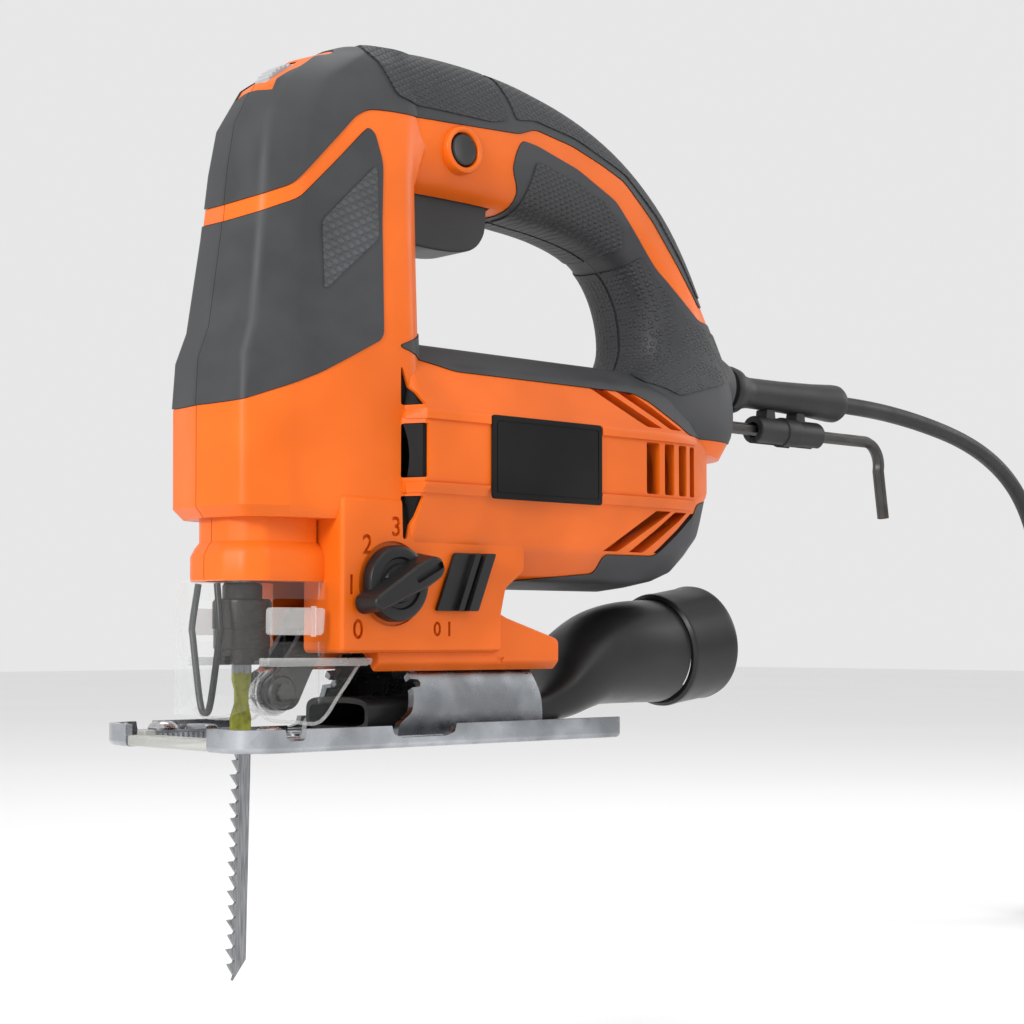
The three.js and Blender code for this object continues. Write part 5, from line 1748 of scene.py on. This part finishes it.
@dataclass
class Labels:
    """The plain plates on the barrel."""

    paints: Paintbox

    def build(self) -> None:
        """Makes a plate on each side, with a fine frame line sunk near its edge."""
        outline = [(25.8, 71), (71.6, 71), (71.6, 95.8), (25.8, 95.8)]
        for side in Side:
            near, far = sorted((side.value * 31.5, side.value * 32.3))
            plate = Body.drawn(rounded(outline, 1.2), near, far, Axis.Y).softened(0.3, 2, 40)
            ends = sorted((side.value * 32.15, side.value * 33))
            frame_line = Body.drawn(rounded(grown(outline, -1.6), 1), *ends, Axis.Y).cut(
                Body.drawn(rounded(grown(outline, -2.0), 0.8), side.value * 40 - 20, side.value * 40 + 20, Axis.Y))
            plate.cut(frame_line)
            plate.piece(f"name_plate_{side.label}", "housing", "black_plastic", self.paints.label,
                        [f"label_plate_{side.label}"])


def dress_nodes(paints: Paintbox) -> None:
    """Gives every solid that stays in view its finish."""
    slots = {
        "black_plastic": paints.black, "zinc_steel": paints.nickel, "dark_steel": paints.blackened,
        "cast_alloy": paints.cast, "copper": paints.copper, "cord_rubber": paints.rubber,
        "blade_steel": paints.blade, "clear_plastic": paints.clear, "milky_plastic": paints.milky,
        "orange_housing": paints.orange, "soft_grip": paints.grip,
    }
    own = {"stator_core": paints.laminated, "armature_core": paints.laminated,
           "shoe_plate": paints.zinc, "bevel_saddle": paints.zinc, "commutator": paints.copper,
           "clamp_body": paints.bronze, "clamp_collar": paints.bronze, "label_plate_left": paints.label,
           "label_plate_right": paints.label}
    for row in frame["record"]["subparts"]:
        node = frame["nodes"][row["node"]]
        finish = own.get(row["node"], slots[row["material_slot"]])
        node.data.materials.clear()
        node.data.materials.append(finish)


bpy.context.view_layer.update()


def main() -> None:
    """Builds every piece in order."""
    logging.basicConfig(level=logging.INFO, format="%(message)s")
    Studio().build()
    paints = Paintbox()
    dress_nodes(paints)
    HousingSkin(paints).build()
    for part in (Controls, BladeEnd, Shoe, DustNozzle, TailEnd, Labels, MainsLead):
        part(paints).build()


if __name__ == "__main__":
    main()
